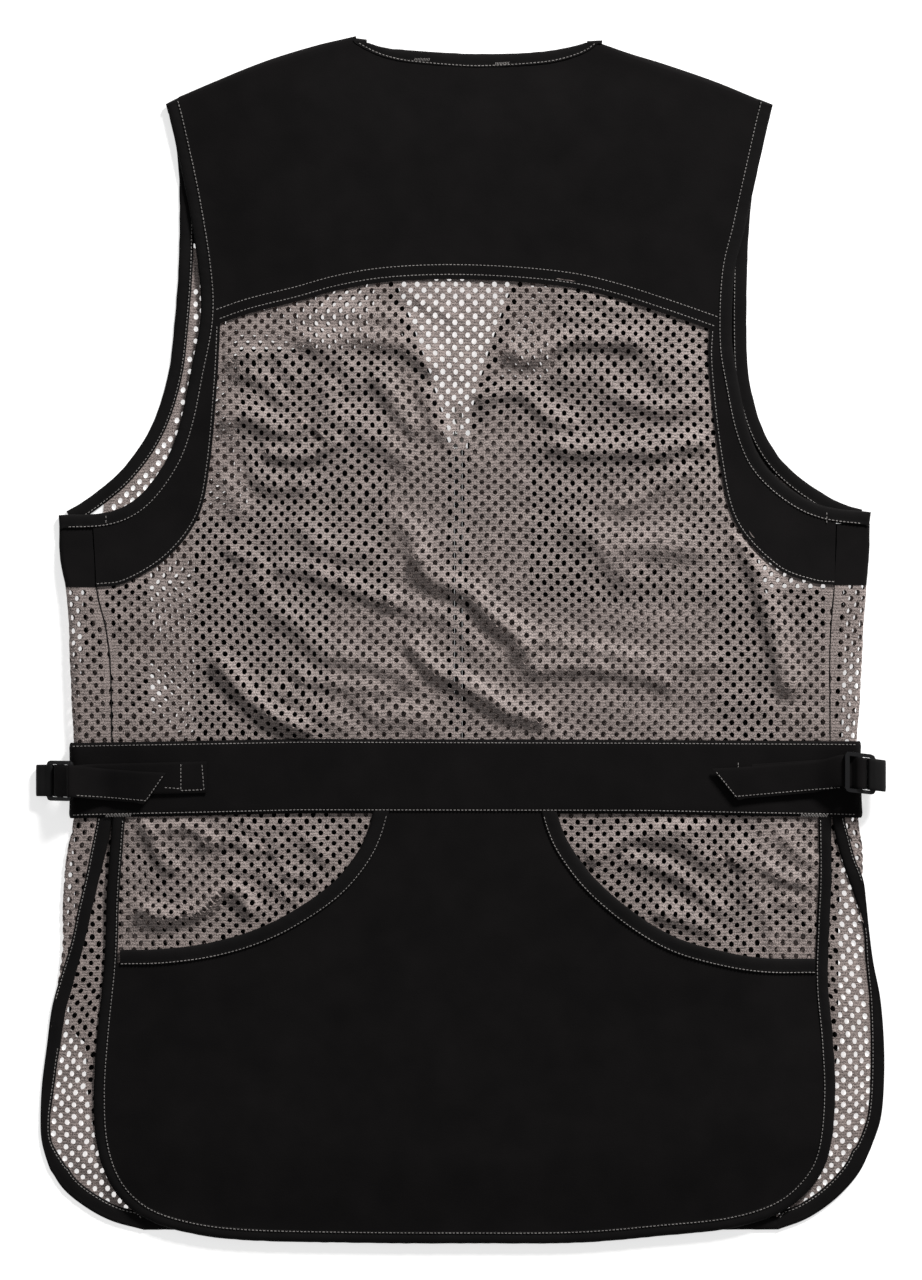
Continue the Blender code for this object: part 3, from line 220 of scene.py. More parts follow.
# How high the upper layer lies beside a side fold, at most
Cap = namedtuple("Cap", "y height")
WRAP_CAP = {
    -1: (Cap(-262, 1.4), Cap(-206, 2.2), Cap(-180, 2.7), Cap(-126, 3.2), Cap(-95, 12)),
    1: (Cap(-196, 1.4), Cap(-150, 2.3), Cap(-126, 3.1), Cap(-95, 12)),
}

# What shows through the holes besides the panels: pockets behind the front mesh and grey lining on the
# panels, with how thick each is and how far it lies over the front, or on the floor
GROWN = 4.0
FRONT_RISE = 1.2
INSIDE = {
    "pocket_left_cloth": ("black_cloth", 0.5, None, (
        (-264, 44), (-265, -60), (-270, -130), (-270, -190), (-274, -240), (-274, -272), (-262, -284),
        (-262, -310), (-256, -350), (-238, -378), (-184, -390), (-184, -110), (-216, -70), (-219, 44))),
    "pocket_right_cloth": ("black_cloth", 0.5, None, (
        (219, 36), (219, -390), (238, -376), (258, -330), (264, -290), (268, 36))),
    "chest_pocket_cloth": ("black_cloth", 0.3, None, (
        (86, 22), (216, 22), (208, 60), (186, 112), (180, 122), (86, 122))),
    "lining_left_cloth": ("grey_mesh", 0.6, 1.4, (
        (-51, 190), (-51, 25), (-91, 25), (-91, -125), (-9, -125), (-9, 140), (-24, 165), (-36, 190))),
    "lining_right_cloth": ("grey_mesh", 0.6, 1.4, (
        (6, -125), (179, -125), (179, 25), (48, 25), (48, 150), (22, 160), (6, 138))),
}

# The creases of the back mesh: how wide and high each one is, and the bent line where it is darkest.
# The ridge stands beside that line, on the light's side.
Crease = namedtuple("Crease", "width height line")
CREASES = tuple(Crease(*row) for row in (
    (5, 2.5, ((-166, 188), (-155, 193), (-143, 194))),
    (5, 2.2, ((-153, 182), (-142, 178), (-128, 165))),
    (5, 1.5, ((-130, 195), (-124, 185), (-118, 176))),
    (6, 3.2, ((-165, 146), (-150, 151), (-134, 143), (-118, 140), (-106, 147), (-99, 160), (-96, 174))),
    (6, 1.8, ((-100, 197), (-92, 193), (-84, 184), (-80, 176))),
    (6, 2.6, ((-108, 203), (-90, 205), (-70, 206), (-55, 203), (-42, 200), (-33, 195), (-26, 188))),
    (4, 1.6, ((-112, 222), (-95, 224), (-75, 223), (-55, 222), (-43, 218))),
    (6, 3.0, ((-62, 178), (-54, 168), (-46, 156), (-38, 146))),
    (5, 2.4, ((-29, 170), (-26, 158), (-22, 150), (-15, 140))),
    (7, 2.4, ((-85, 145), (-72, 138), (-55, 130), (-45, 122))),
    (5, 3.2, ((-133, 125), (-120, 123), (-105, 124), (-95, 129), (-85, 134))),
    (7, 2.4, ((-136, 103), (-125, 101), (-112, 102))),
    (4, 1.4, ((-152, 130), (-149, 120), (-146, 110))),
    (5, 1.4, ((-168, 108), (-162, 98), (-158, 88))),
    (6, 1.8, ((-45, 78), (-37, 68), (-33, 56))),
    (6, 3.8, ((-34, 54), (-29, 44), (-18, 36), (-6, 31), (4, 27), (12, 18), (24, 8), (34, 0), (42, -8))),
    (6, 2.6, ((38, -12), (44, -20), (54, -26), (66, -24), (85, -24), (105, -26), (125, -29), (140, -34))),
    (3.5, 1.9, ((60, -6), (80, -8), (100, -12), (115, -15), (127, -16))),
    (4, 1.0, ((140, -19), (160, -21), (178, -20))),
    (4, 2.2, ((-162, 58), (-152, 54), (-142, 50))),
    (5, 2.4, ((-124, 45), (-110, 44), (-98, 40), (-82, 34), (-70, 29), (-58, 24), (-50, 22))),
    (5, 1.7, ((-50, 22), (-38, 18), (-26, 15), (-16, 12), (-8, 8), (0, -2), (6, -8))),
    (6, 1.8, ((-112, 72), (-102, 62), (-90, 57), (-78, 54), (-66, 56))),
    (7, 2.2, ((-148, 38), (-140, 22), (-130, 14), (-120, 8), (-112, -2), (-100, -12), (-90, -17),
        (-78, -19), (-62, -23), (-48, -27), (-42, -32))),
    (4.5, 2.3, ((-118, -26), (-108, -32), (-95, -34), (-82, -36), (-68, -37), (-54, -40))),
    (5, 4.2, ((-172, -20), (-163, -30), (-155, -40), (-146, -48), (-136, -55), (-124, -61), (-112, -66))),
    (5, 1.8, ((-128, -40), (-118, -45), (-108, -52), (-96, -59), (-84, -64))),
    (5, 1.6, ((-76, -44), (-66, -52), (-58, -60))),
    (6, 1.8, ((-44, -58), (-34, -60), (-26, -62))),
    (5, 3.8, ((-36, -8), (-30, -17), (-20, -25), (-10, -30), (0, -35), (10, -41), (20, -47), (30, -54),
        (42, -57), (54, -60))),
    (8, 2.4, ((76, 75), (84, 68), (94, 60), (102, 50), (108, 40))),
    (8, 2.4, ((118, 58), (135, 57), (150, 57), (162, 56))),
    (6, 3.8, ((192, 68), (201, 48), (206, 30), (211, 12), (215, -6), (219, -22), (223, -34))),
    (4, 1.6, ((112, 90), (122, 93), (136, 100), (150, 108), (162, 115))),
    (6, 3.2, ((66, 130), (80, 127), (100, 127), (120, 127), (140, 126), (155, 130), (168, 132))),
    (6, 3.6, ((34, 195), (48, 191), (58, 194), (68, 200), (82, 204), (100, 203), (118, 202))),
    (5, 2.0, ((68, 243), (85, 238), (100, 233), (108, 229))),
    (4, 1.4, ((70, 226), (82, 222), (95, 220))),
    (6, 1.8, ((122, 202), (130, 194), (138, 182), (150, 174))),
    (6, 1.8, ((148, 191), (160, 186), (168, 186))),
    (5, 2.6, ((15, 165), (28, 167), (42, 167), (48, 163), (56, 155), (66, 148), (74, 146))),
    (7, 1.6, ((72, 178), (85, 177), (98, 176))),
    (6, 2.4, ((105, 166), (118, 162), (135, 156), (150, 156), (162, 159))),
    (3.5, 1.2, ((-33, 235), (-22, 230), (-10, 224))),
    (4, 2.4, ((-224, -130), (-218, -140), (-214, -152), (-206, -162), (-199, -162))),
    (4, 2.0, ((-206, -136), (-196, -134), (-186, -136), (-180, -140))),
    (4, 3.6, ((-222, -193), (-212, -196), (-200, -197), (-188, -195), (-176, -190), (-168, -182),
        (-160, -178), (-154, -184), (-150, -190))),
    (4, 2.2, ((-178, -146), (-168, -145), (-158, -144), (-152, -149), (-144, -151), (-136, -148),
        (-133, -142))),
    (4, 1.4, ((-168, -130), (-156, -130), (-148, -134))),
    (4, 1.4, ((-160, -163), (-150, -166), (-142, -164))),
    (4, 2.0, ((-124, -166), (-114, -170), (-104, -170))),
    (4, 1.8, ((-136, -172), (-128, -177), (-120, -184))),
    (4, 1.8, ((-108, -143), (-102, -150), (-98, -156))),
    (4, 1.2, ((-126, -133), (-118, -131), (-110, -128))),
    (5, 2.4, ((96, -156), (104, -150), (114, -144), (126, -142), (140, -144))),
    (7, 2.8, ((150, -146), (162, -153), (172, -160), (182, -155), (188, -146))),
    (6, 2.0, ((140, -136), (158, -136), (172, -134))),
    (4, 2.2, ((118, -158), (132, -161), (146, -166), (158, -174), (168, -183), (178, -192))),
    (5, 2.4, ((138, -196), (148, -198), (160, -201), (172, -206))),
    (4, 2.4, ((212, -163), (220, -167), (230, -172), (240, -173))),
    (4, 1.8, ((222, -140), (228, -146), (234, -153), (242, -158))),
    (4, 1.4, ((199, -150), (196, -165), (196, -180))),
    (4, 1.8, ((224, -187), (230, -187), (236, -188))),
    (4, 1.4, ((208, -190), (212, -200), (214, -212))),
))

SIDES = {-1: "left", 1: "right"}


# Curves


def evenly(points, count):
    """A line of points, cut into count equal steps."""
    points = np.asarray(points, float)
    along = np.concatenate(([0.0], np.cumsum(np.linalg.norm(np.diff(points, axis=0), axis=1))))
    wanted = np.linspace(0.0, along[-1], count + 1)
    return np.column_stack([np.interp(wanted, along, points[:, k]) for k in range(points.shape[1])])


def smooth(rows, count=160):
    """A smooth curve through every row, in count equal steps."""
    points = np.array(rows, float)
    ends = np.vstack((2 * points[0] - points[1], points, 2 * points[-1] - points[-2]))
    fine = []
    for k in range(len(points) - 1):
        a, b, c, d = ends[k : k + 4]
        for t in np.linspace(0.0, 1.0, 12, endpoint=False):
            turn = (2 * a - 5 * b + 4 * c - d) * t**2 + (3 * b - a - 3 * c + d) * t**3
            fine.append(0.5 * (2 * b + (c - a) * t + turn))
    fine.append(points[-1])
    return evenly(fine, count)


def left_normals(path):
    way = np.gradient(path, axis=0)
    normals = np.column_stack((-way[:, 1], way[:, 0]))
    return normals / np.linalg.norm(normals, axis=1)[:, None]


def offset(path, distance):
    return path + left_normals(path) * np.reshape(distance, (-1, 1))


def length_of(path):
    return float(np.linalg.norm(np.diff(path, axis=0), axis=1).sum())


def distance_to(paths, x, y):
    """How far each place is from the nearest of several lines."""
    best = np.full(np.shape(x), 1e9)
    for path in paths:
        for (ax, ay), (bx, by) in zip(path[:-1], path[1:]):
            dx, dy = bx - ax, by - ay
            share = np.clip(((x - ax) * dx + (y - ay) * dy) / (dx * dx + dy * dy), 0.0, 1.0)
            best = np.minimum(best, np.hypot(x - ax - share * dx, y - ay - share * dy))
    return best


def nearest_on(path, points):
    """The nearest point of a closed polyline to each point, and how far inside it each one is."""
    best = np.full(len(points), 1e9)
    spot = points.copy()
    inside = np.zeros(len(points), bool)
    x, y = points[:, 0], points[:, 1]
    for (ax, ay), (bx, by) in zip(path, np.roll(path, -1, axis=0)):
        dx, dy = bx - ax, by - ay
        span = dx * dx + dy * dy
        if span < 1e-12:
            continue
        share = np.clip(((x - ax) * dx + (y - ay) * dy) / span, 0.0, 1.0)
        px, py = ax + share * dx, ay + share * dy
        far = np.hypot(x - px, y - py)
        closer = far < best
        best[closer] = far[closer]
        spot[closer] = np.column_stack((px, py))[closer]
        if abs(dy) > 1e-12:
            crosses = ((ay > y) != (by > y)) & (x < ax + (y - ay) * dx / dy)
            inside ^= crosses
    return spot, np.where(inside, best, -best)


def eased(value):
    """A share from 0 to 1 that starts and ends softly."""
    value = np.clip(value, 0.0, 1.0)
    return value * value * (3.0 - 2.0 * value)


def part_of(path, keep, count):
    return evenly(path[keep(path[:, 0], path[:, 1])], count)


def at_y(path, y):
    return np.interp(y, path[::-1, 1], path[::-1, 0])


# The lines that the pieces share
NECK = smooth(NECK_EDGE)
NECK_INNER = smooth(NECK_SEAM)
YOKE = smooth(YOKE_EDGE)
BACK = smooth(BACK_EDGE, 320)
ARM = {side: smooth(BACK_ARMHOLE[side]) for side in SIDES}
CURVE = {side: smooth(CRESCENT[side]) for side in SIDES}
SEAMS = {side: smooth(SIDE_SEAM[side]) for side in SIDES}
SIDE = {side: smooth(SIDE_OUTLINE[side]) for side in SIDES}
FOLD = {side: smooth(SIDE_OUTLINE[side] + FOLD_BELOW[side], 240) for side in SIDES}
SCOOPS = {side: smooth(SCOOP[side]) for side in SIDES}

# Lines where the back lies low, and lines that hold its creases down
FREE_EDGES = [evenly(path, 40) for path in (NECK, ARM[-1], ARM[1])] + [evenly(BACK, 80)]
CALM_LINES = [
    evenly(YOKE, 24),
    np.array([(-280.0, BELT_HIGH_Y), (280.0, BELT_HIGH_Y)]),
    np.array([(-280.0, BELT_LOW_Y), (280.0, BELT_LOW_Y)]),
    *(evenly(CURVE[side], 24) for side in SIDES),
    *(evenly(SEAMS[side], 8) for side in SIDES),
    *(evenly(SCOOPS[side], 16) for side in SIDES),
]

# The random numbers that the ripples use, drawn once
WAVES = np.random.default_rng(7).uniform(-1.0, 1.0, (24, 4))


def ripple(x, y, scale, seed=0):
    """A soft uneven field from -1 to 1, with humps about as long as scale."""
    total = np.zeros(np.shape(x))
    for k in range(8):
        a, b, c, d = WAVES[(k + seed * 5) % len(WAVES)]
        turn = math.pi * (a + 0.37 * k)
        rate = 2 * math.pi / (scale * (1.0 + 0.45 * b))
        total += np.sin((x * math.cos(turn) + y * math.sin(turn)) * rate + 9.0 * c) * (0.6 + 0.4 * d)
    return total / 4.0


def lift(x, y):
    """How high the back layer's underside lies, without its creases."""
    share = eased(distance_to(FREE_EDGES, x, y) / RISE_RUN)
    return EDGE_REST + (MIDDLE_LIFT - EDGE_REST) * share


# The way to the light along the floor, and how much higher than listed each crease is made
LIGHT_WAY = np.array((0.55, 0.83))
CREASE_GAIN = 1.5
BENT = [smooth(crease.line, 4 * len(crease.line)) for crease in CREASES]


def ridge(line, width, x, y):
    """A soft ridge from 0 to 1 beside a bent line, on the light's side of it."""
    best = np.full(len(x), 1e9)
    across = np.zeros(len(x))
    past = np.zeros(len(x))
    last = len(line) - 2
    for k, ((ax, ay), (bx, by)) in enumerate(zip(line[:-1], line[1:])):
        length = math.hypot(bx - ax, by - ay)
        dx, dy = (bx - ax) / length, (by - ay) / length
        nx, ny = (-dy, dx) if LIGHT_WAY @ (-dy, dx) > 0 else (dy, -dx)
        along = (x - ax) * dx + (y - ay) * dy
        off = (x - ax) * nx + (y - ay) * ny
        over = np.maximum(np.maximum(-along, along - length), 0.0)
        closer = np.hypot(over, off) < best
        best[closer] = np.hypot(over, off)[closer]
        across[closer] = off[closer]
        ends = ((along < 0) & (k == 0)) | ((along > length) & (k == last))
        past[closer] = np.where(ends, over, 0.0)[closer]
    across -= 0.8 * width
    reach = width * (1.0 + 0.5 * (across > 0))
    return np.exp(-((across / reach) ** 2) - (past / (1.2 * width)) ** 2)


def folds(x, y):
    shape = np.shape(x)
    x, y = np.ravel(np.asarray(x, float)), np.ravel(np.asarray(y, float))
    rise = np.zeros(len(x))
    for crease, line in zip(CREASES, BENT):
        (x0, y0), (x1, y1) = line.min(axis=0) - 4 * crease.width, line.max(axis=0) + 4 * crease.width
        near = (x > x0) & (x < x1) & (y > y0) & (y < y1)
        if near.any():
            rise[near] += CREASE_GAIN * crease.height * ridge(line, crease.width, x[near], y[near])
    rise += 0.8 * ripple(x, y, 52.0) + 0.6 * ripple(x, y, 24.0, 1) + 0.28 * ripple(x, y, 10.0, 2)
    calm = eased(distance_to(CALM_LINES, x, y) / 9.0)
    return np.where((y < BELT_HIGH_Y) & (y > BELT_LOW_Y), 0.0, rise * calm).reshape(shape)


def mesh_lift(x, y):
    return lift(x, y) + folds(x, y)


def black_lift(x, y):
    """Underside of what is sewn over the mesh's edge."""
    return lift(x, y) + MESH + 0.15


def yoke_lift(x, y):
    calm = eased(distance_to(FREE_EDGES[:3], x, y) / 16.0)
    return black_lift(x, y) + calm * (0.5 * ripple(x, y, 90.0, 3) + 0.22 * ripple(x, y, 33.0, 1))


def pouch_lift(x, y):
    calm = eased(distance_to([evenly(BACK, 60)], x, y) / 20.0) * eased((BELOW_BELT_Y - y) / 14.0)
    return lift(x, y) + MESH + 0.6 + calm * (0.8 * ripple(x, y, 120.0, 2) + 0.25 * ripple(x, y, 41.0, 4))


def belt_lift(x, y):
    return lift(x, y) + 1.4


def belt_top(x, y):
    return belt_lift(x, y) + BELT


def belt_edge(x, low):
    """The y of the belt's low or high edge, a little bent."""
    ys = (-125.0, -121.2, -121.6, -124.6) if low else (-72.2, -69.3, -70.0, -71.0)
    return np.interp(x, (-272.0, -112.0, 126.0, 278.0), ys)


def level_at(level):
    return lambda x, y: np.full(np.shape(x), float(level))


# Materials


def new_material(slot, colour, roughness, metallic=0.0):
    material = bpy.data.materials.new(slot)
    material.use_nodes = True
    tree = material.node_tree
    shader = tree.nodes["Principled BSDF"]
    shader.inputs["Base Color"].default_value = (*colour, 1.0)
    shader.inputs["Roughness"].default_value = roughness
    shader.inputs["Metallic"].default_value = metallic
    return material, tree, shader


def mapped_noise(tree, source, scale, detail):
    node = tree.nodes.new("ShaderNodeTexNoise")
    node.inputs["Scale"].default_value = scale
    node.inputs["Detail"].default_value = detail
    tree.links.new(source, node.inputs["Vector"])
    return node.outputs["Fac"]


def tone(tree, driver, low, high, dark, light):
    """A colour between dark and light, as driver goes from low to high."""
    ramp = tree.nodes.new("ShaderNodeValToRGB")
    ramp.color_ramp.elements[0].position = low
    ramp.color_ramp.elements[1].position = high
    ramp.color_ramp.elements[0].color = (*dark, 1.0)
    ramp.color_ramp.elements[1].color = (*light, 1.0)
    tree.links.new(driver, ramp.inputs["Fac"])
    return ramp.outputs["Color"]


def bump(tree, shader, height, strength, distance):
    node = tree.nodes.new("ShaderNodeBump")
    node.inputs["Strength"].default_value = strength
    node.inputs["Distance"].default_value = distance
    tree.links.new(height, node.inputs["Height"])
    tree.links.new(node.outputs["Normal"], shader.inputs["Normal"])


def mixed(tree, source, share, more):
    """A share of source, added to more."""
    node = tree.nodes.new("ShaderNodeMath")
    node.operation = "MULTIPLY_ADD"
    node.inputs[1].default_value = share
    tree.links.new(source, node.inputs[0])
    tree.links.new(more, node.inputs[2])
    return node.outputs["Value"]


def weave_material(slot, dark, light, roughness, scale):
    """Plain cloth: a fine weave in the bump, and a faint unevenness in the colour."""
    material, tree, shader = new_material(slot, light, roughness)
    where = tree.nodes.new("ShaderNodeTexCoord").outputs["Object"]
    mottled = mapped_noise(tree, where, 38.0, 4.0)
    tree.links.new(tone(tree, mottled, 0.3, 0.72, dark, light), shader.inputs["Base Color"])
    fine = mapped_noise(tree, where, scale, 1.0)
    bump(tree, shader, fine, 0.25, 0.0003)
    shader.inputs["Specular IOR Level"].default_value = 0.12
    return material


def knit_material(slot, dark, light):
    """Knitted mesh: short light bars across, on a darker ground."""
    material, tree, shader = new_material(slot, light, 0.6)
    flat = tree.nodes.new("ShaderNodeUVMap")
    flat.uv_map = "flat"
    source = flat.outputs["UV"]
    bars = tree.nodes.new("ShaderNodeTexWave")
    bars.wave_type = "BANDS"
    bars.bands_direction = "Y"
    bars.inputs["Scale"].default_value = 1000.0 / BAR_PITCH / 20.0 * math.pi
    bars.inputs["Distortion"].default_value = 4.5
    bars.inputs["Detail"].default_value = 3.0
    bars.inputs["Detail Scale"].default_value = 5.0
    tree.links.new(source, bars.inputs["Vector"])
    broken = mapped_noise(tree, source, 1300.0, 2.0)
    soft = mapped_noise(tree, source, 90.0, 3.0)
    yarn = mixed(tree, bars.outputs["Fac"], 0.16, broken)
    shade = mixed(tree, soft, 0.2, yarn)
    tree.links.new(tone(tree, shade, 0.51, 0.84, dark, light), shader.inputs["Base Color"])
    bump(tree, shader, yarn, 0.7, 0.0005)
    shader.inputs["Specular IOR Level"].default_value = 0.35
    return material


WEAVES = {
    "black_cloth": ((0.0042, 0.0037, 0.0039), (0.0066, 0.0058, 0.006), 0.9, 900.0),
    "black_binding": ((0.0046, 0.0042, 0.0044), (0.0072, 0.0066, 0.0068), 0.85, 900.0),
    "black_webbing": ((0.006, 0.006, 0.0062), (0.011, 0.0108, 0.011), 0.6, 1500.0),
    "grey_thread": ((0.22, 0.21, 0.205), (0.36, 0.345, 0.335), 0.6, 1500.0),
}
MATERIALS = {slot: weave_material(slot, *values) for slot, values in WEAVES.items()}
MATERIALS["grey_mesh"] = knit_material("grey_mesh", (0.075, 0.062, 0.058), (0.5, 0.418, 0.394))
MATERIALS["black_plastic"] = new_material("black_plastic", (0.01, 0.01, 0.011), 0.3)[0]
MATERIALS["zip_metal"] = new_material("zip_metal", (0.45, 0.44, 0.42), 0.35, 1.0)[0]


# Meshes


def new_piece(name, slot, points, faces, flat=None, sharp=50.0):
    """A named piece on the root body. flat is each point in the uncut cloth, for the knit."""
    mesh = bpy.data.meshes.new(name)
    mesh.from_pydata((np.asarray(points) * MM).tolist(), [], faces)
    mesh.validate()
    if flat is not None:
        layer = mesh.uv_layers.new(name="flat")
        index = np.empty(len(mesh.loops), np.int32)
        mesh.loops.foreach_get("vertex_index", index)
        layer.data.foreach_set("uv", (flat[index] * MM).ravel())
    mesh.materials.append(MATERIALS[slot])
    mesh.shade_smooth()
    mesh.set_sharp_from_angle(angle=math.radians(sharp))
    piece = bpy.data.objects.new(name, mesh)
    bpy.context.scene.collection.objects.link(piece)
    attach(piece, "root")
    return piece


def rim_of(corners, total):
    """The faces round a sheet's edges, from its lower points to its upper ones."""
    edges = np.concatenate([corners[:, [k, (k + 1) % 4]] for k in range(4)])
    codes = edges[:, 0].astype(np.int64) * total + edges[:, 1]
    back = edges[:, 1].astype(np.int64) * total + edges[:, 0]
    rim = edges[~np.isin(codes, back)]
    return np.column_stack((rim, rim[:, ::-1] + total))


def closed(name, slot, lower, upper, corners, flat=None):
    """A closed piece between lower and upper points, over cells of four corners."""
    used, packed = np.unique(corners, return_inverse=True)
    corners = packed.reshape(-1, 4)
    points = np.vstack((lower[used], upper[used]))
    faces = np.vstack((corners[:, ::-1], corners + len(used), rim_of(corners, len(used)))).tolist()
    turn_outwards(new_piece(name, slot, points, faces, None if flat is None else np.tile(flat[used], (2, 1))))


def wall(name, slot, lower, upper):
    """A closed wall between two grids of points. A point that isn't a number leaves its cells out."""
    there = ~np.isnan(lower[..., 0])
    whole = there[:-1, :-1] & there[:-1, 1:] & there[1:, :-1] & there[1:, 1:]
    index = np.arange(there.size).reshape(there.shape)
    corners = np.stack((index[:-1, :-1], index[:-1, 1:], index[1:, 1:], index[1:, :-1]), axis=-1)[whole]
    closed(name, slot, lower.reshape(-1, 3), upper.reshape(-1, 3), corners)


def turn_outwards(piece):
    """Flips a closed piece that is inside out."""
    mesh = piece.data
    points = np.empty(len(mesh.vertices) * 3)
    mesh.vertices.foreach_get("co", points)
    points = points.reshape(-1, 3)
    mesh.calc_loop_triangles()
    corners = np.empty(len(mesh.loop_triangles) * 3, np.int32)
    mesh.loop_triangles.foreach_get("vertices", corners)
    a, b, c = (points[corners.reshape(-1, 3)[:, k]] for k in range(3))
    if (a * np.cross(b, c)).sum() < 0:
        mesh.flip_normals()


def raised(flat, height, thickness):
    """The lower and upper points of a flat grid laid on a height function."""
    under = height(flat[..., 0], flat[..., 1])
    return np.dstack((flat, under)), np.dstack((flat, under + thickness))


def ruled(first, second, steps):
    share = np.linspace(0.0, 1.0, steps + 1)[:, None, None]
    return first[None] * (1.0 - share) + second[None] * share


def patch(top, bottom, left, right):
    """A grid of points between four lines that share their ends."""
    u = np.linspace(0.0, 1.0, len(top))[None, :, None]
    v = np.linspace(0.0, 1.0, len(left))[:, None, None]
    across = (1 - v) * top[None] + v * bottom[None]
    down = (1 - u) * left[:, None] + u * right[:, None]
    corners = (1 - v) * ((1 - u) * top[0] + u * top[-1]) + v * ((1 - u) * bottom[0] + u * bottom[-1])
    return across + down - corners


# A tape across its width: how far across, and the share of its thickness there
TAPE_PROFILE = ((0.0, 0.35), (0.05, 0.72), (0.16, 0.95), (0.4, 1.0), (0.62, 0.97), (0.78, 0.86), (0.9, 0.96),
                (0.97, 0.72), (1.0, 0.35))
FOLD_STEPS = 10


def end_turn(places, way, height, thickness):
    """Rows that take a strip's end over a fold and down to the floor. places are its outermost points."""
    outer_radius = height / 2.0
    inner_radius = outer_radius - thickness
    centre = places - way * outer_radius
    lower, upper = [], []
    for angle in np.linspace(90.0, -90.0, FOLD_STEPS + 1):
        cosine, sine = math.cos(math.radians(angle)), math.sin(math.radians(angle))
        for rows, radius in ((upper, outer_radius), (lower, inner_radius)):
            flat = centre + way * radius * cosine
            rows.append(np.column_stack((flat, np.full(len(flat), outer_radius + radius * sine))))
    flat = centre - way * END_TURN
    upper.append(np.column_stack((flat, np.zeros(len(flat)))))
    lower.append(np.column_stack((flat, np.full(len(flat), thickness))))
    return lower, upper


def tape(name, slot, first, second, height, thickness=TAPE, turns=(None, None), pucker=0.22):
    """A sewn strip with rounded edges between two lines of points, puckered beside its stitches.

    turns are the ways in which its two ends go on over a fold, or None.
    """
    step, share = np.array(TAPE_PROFILE).T
    wobble = 0.25 * ripple(first[:, 0] * 1.3, first[:, 1], 13.0, 2)
    first = first + left_normals(first) * wobble[:, None]
    flat = first[:, None] * (1 - step[None, :, None]) + second[:, None] * step[None, :, None]
    for row, way in zip((0, -1), turns):
        if way is not None:
            level = height(flat[row, :, 0], flat[row, :, 1]) + thickness
            flat[row] = flat[row] - np.array(way) * level[:, None] / 2.0
    under = height(flat[..., 0], flat[..., 1])
    waves = pucker * ripple(flat[..., 0], flat[..., 1], 7.5, 3) * (share > 0.8)
    lower = np.dstack((flat, under))
    upper = np.dstack((flat, under + thickness * share[None] + waves))
    for row, way in zip((0, -1), turns):
        if way is None:
            continue
        way = np.array(way, float)
        level = lower[row, :, 2].mean() + thickness
        turned_lower, turned_upper = end_turn(flat[row] + way * level / 2.0, way, level, thickness)
        if row == 0:
            lower = np.concatenate((np.array(turned_lower[:0:-1]), lower))
            upper = np.concatenate((np.array(turned_upper[:0:-1]), upper))
        else:
            lower = np.concatenate((lower, np.array(turned_lower[1:])))
            upper = np.concatenate((upper, np.array(turned_upper[1:])))
    wall(name, slot, lower, upper)


def stitches(name, paths, height, pitch=STITCH_PITCH, length=STITCH_LENGTH, width=STITCH_WIDTH, slant=0.0):
    """Rows of single stitches along lines of points, joined as one piece. height is one for all or a list."""
    points, faces = [], []
    around = len(STITCH_PROFILE)
    each = around * len(STITCH_RINGS)
    turned = math.radians(slant)
    for number, path in enumerate(paths):
        top = height[number] if isinstance(height, list) else height
        count = max(2, int(round(length_of(path) / pitch)))
        line = evenly(path, count * 2)
        middle = line[1::2]
        way = line[2::2] - line[:-1:2]
        way /= np.linalg.norm(way, axis=1)[:, None]
        way = np.column_stack((
            way[:, 0] * math.cos(turned) - way[:, 1] * math.sin(turned),
            way[:, 0] * math.sin(turned) + way[:, 1] * math.cos(turned),
        ))
        side = np.column_stack((-way[:, 1], way[:, 0]))
        uneven = 1.0 + 0.12 * np.sin(np.arange(len(middle)) * 2.39 + number)
        for k in range(len(middle)):
            base = len(points)
            for end, drop in STITCH_RINGS:
                for across, up in STITCH_PROFILE:
                    spot = middle[k] + way[k] * end * length * uneven[k] + side[k] * across * width
                    rise = up * STITCH_RISE - (drop * STITCH_RISE if up > 0 else 0.0)
                    points.append((spot[0], spot[1], rise))
            for ring in range(len(STITCH_RINGS) - 1):
                for n in range(around - 1):
                    a = base + ring * around + n
                    faces.append((a, a + 1, a + 1 + around, a + around))
            faces.append(tuple(range(base, base + around)))
            faces.append(tuple(range(base + each - 1, base + each - 1 - around, -1)))
        made = np.array(points[-len(middle) * each :])
        made[:, 2] += top(made[:, 0], made[:, 1])
        points[-len(middle) * each :] = [tuple(row) for row in made]
    new_piece(name, "grey_thread", points, faces)


def cut(outline):
    outline = np.asarray(outline, float)


def grid_border(flat):
    """The outline of a grid of points."""
    return np.vstack((flat[0], flat[1:, -1], flat[-1, -2::-1], flat[-2:0:-1, 0]))


# Open mesh with real holes


def pulled_about(flat, outline):
    """The lattice as uneven tension pulls it, not at the border."""
    free = PULL * eased(nearest_on(outline, flat)[1] / PULL_RUN)
    x, y = flat[:, 0], flat[:, 1]
    across = ripple(x, y, 105.0, 2) + 0.4 * ripple(x, y, 43.0, 4)
    along = ripple(x + 60.0, y, 90.0, 3) + 0.4 * ripple(x, y, 37.0, 1)
    return flat + np.column_stack((across, along)) * free[:, None]


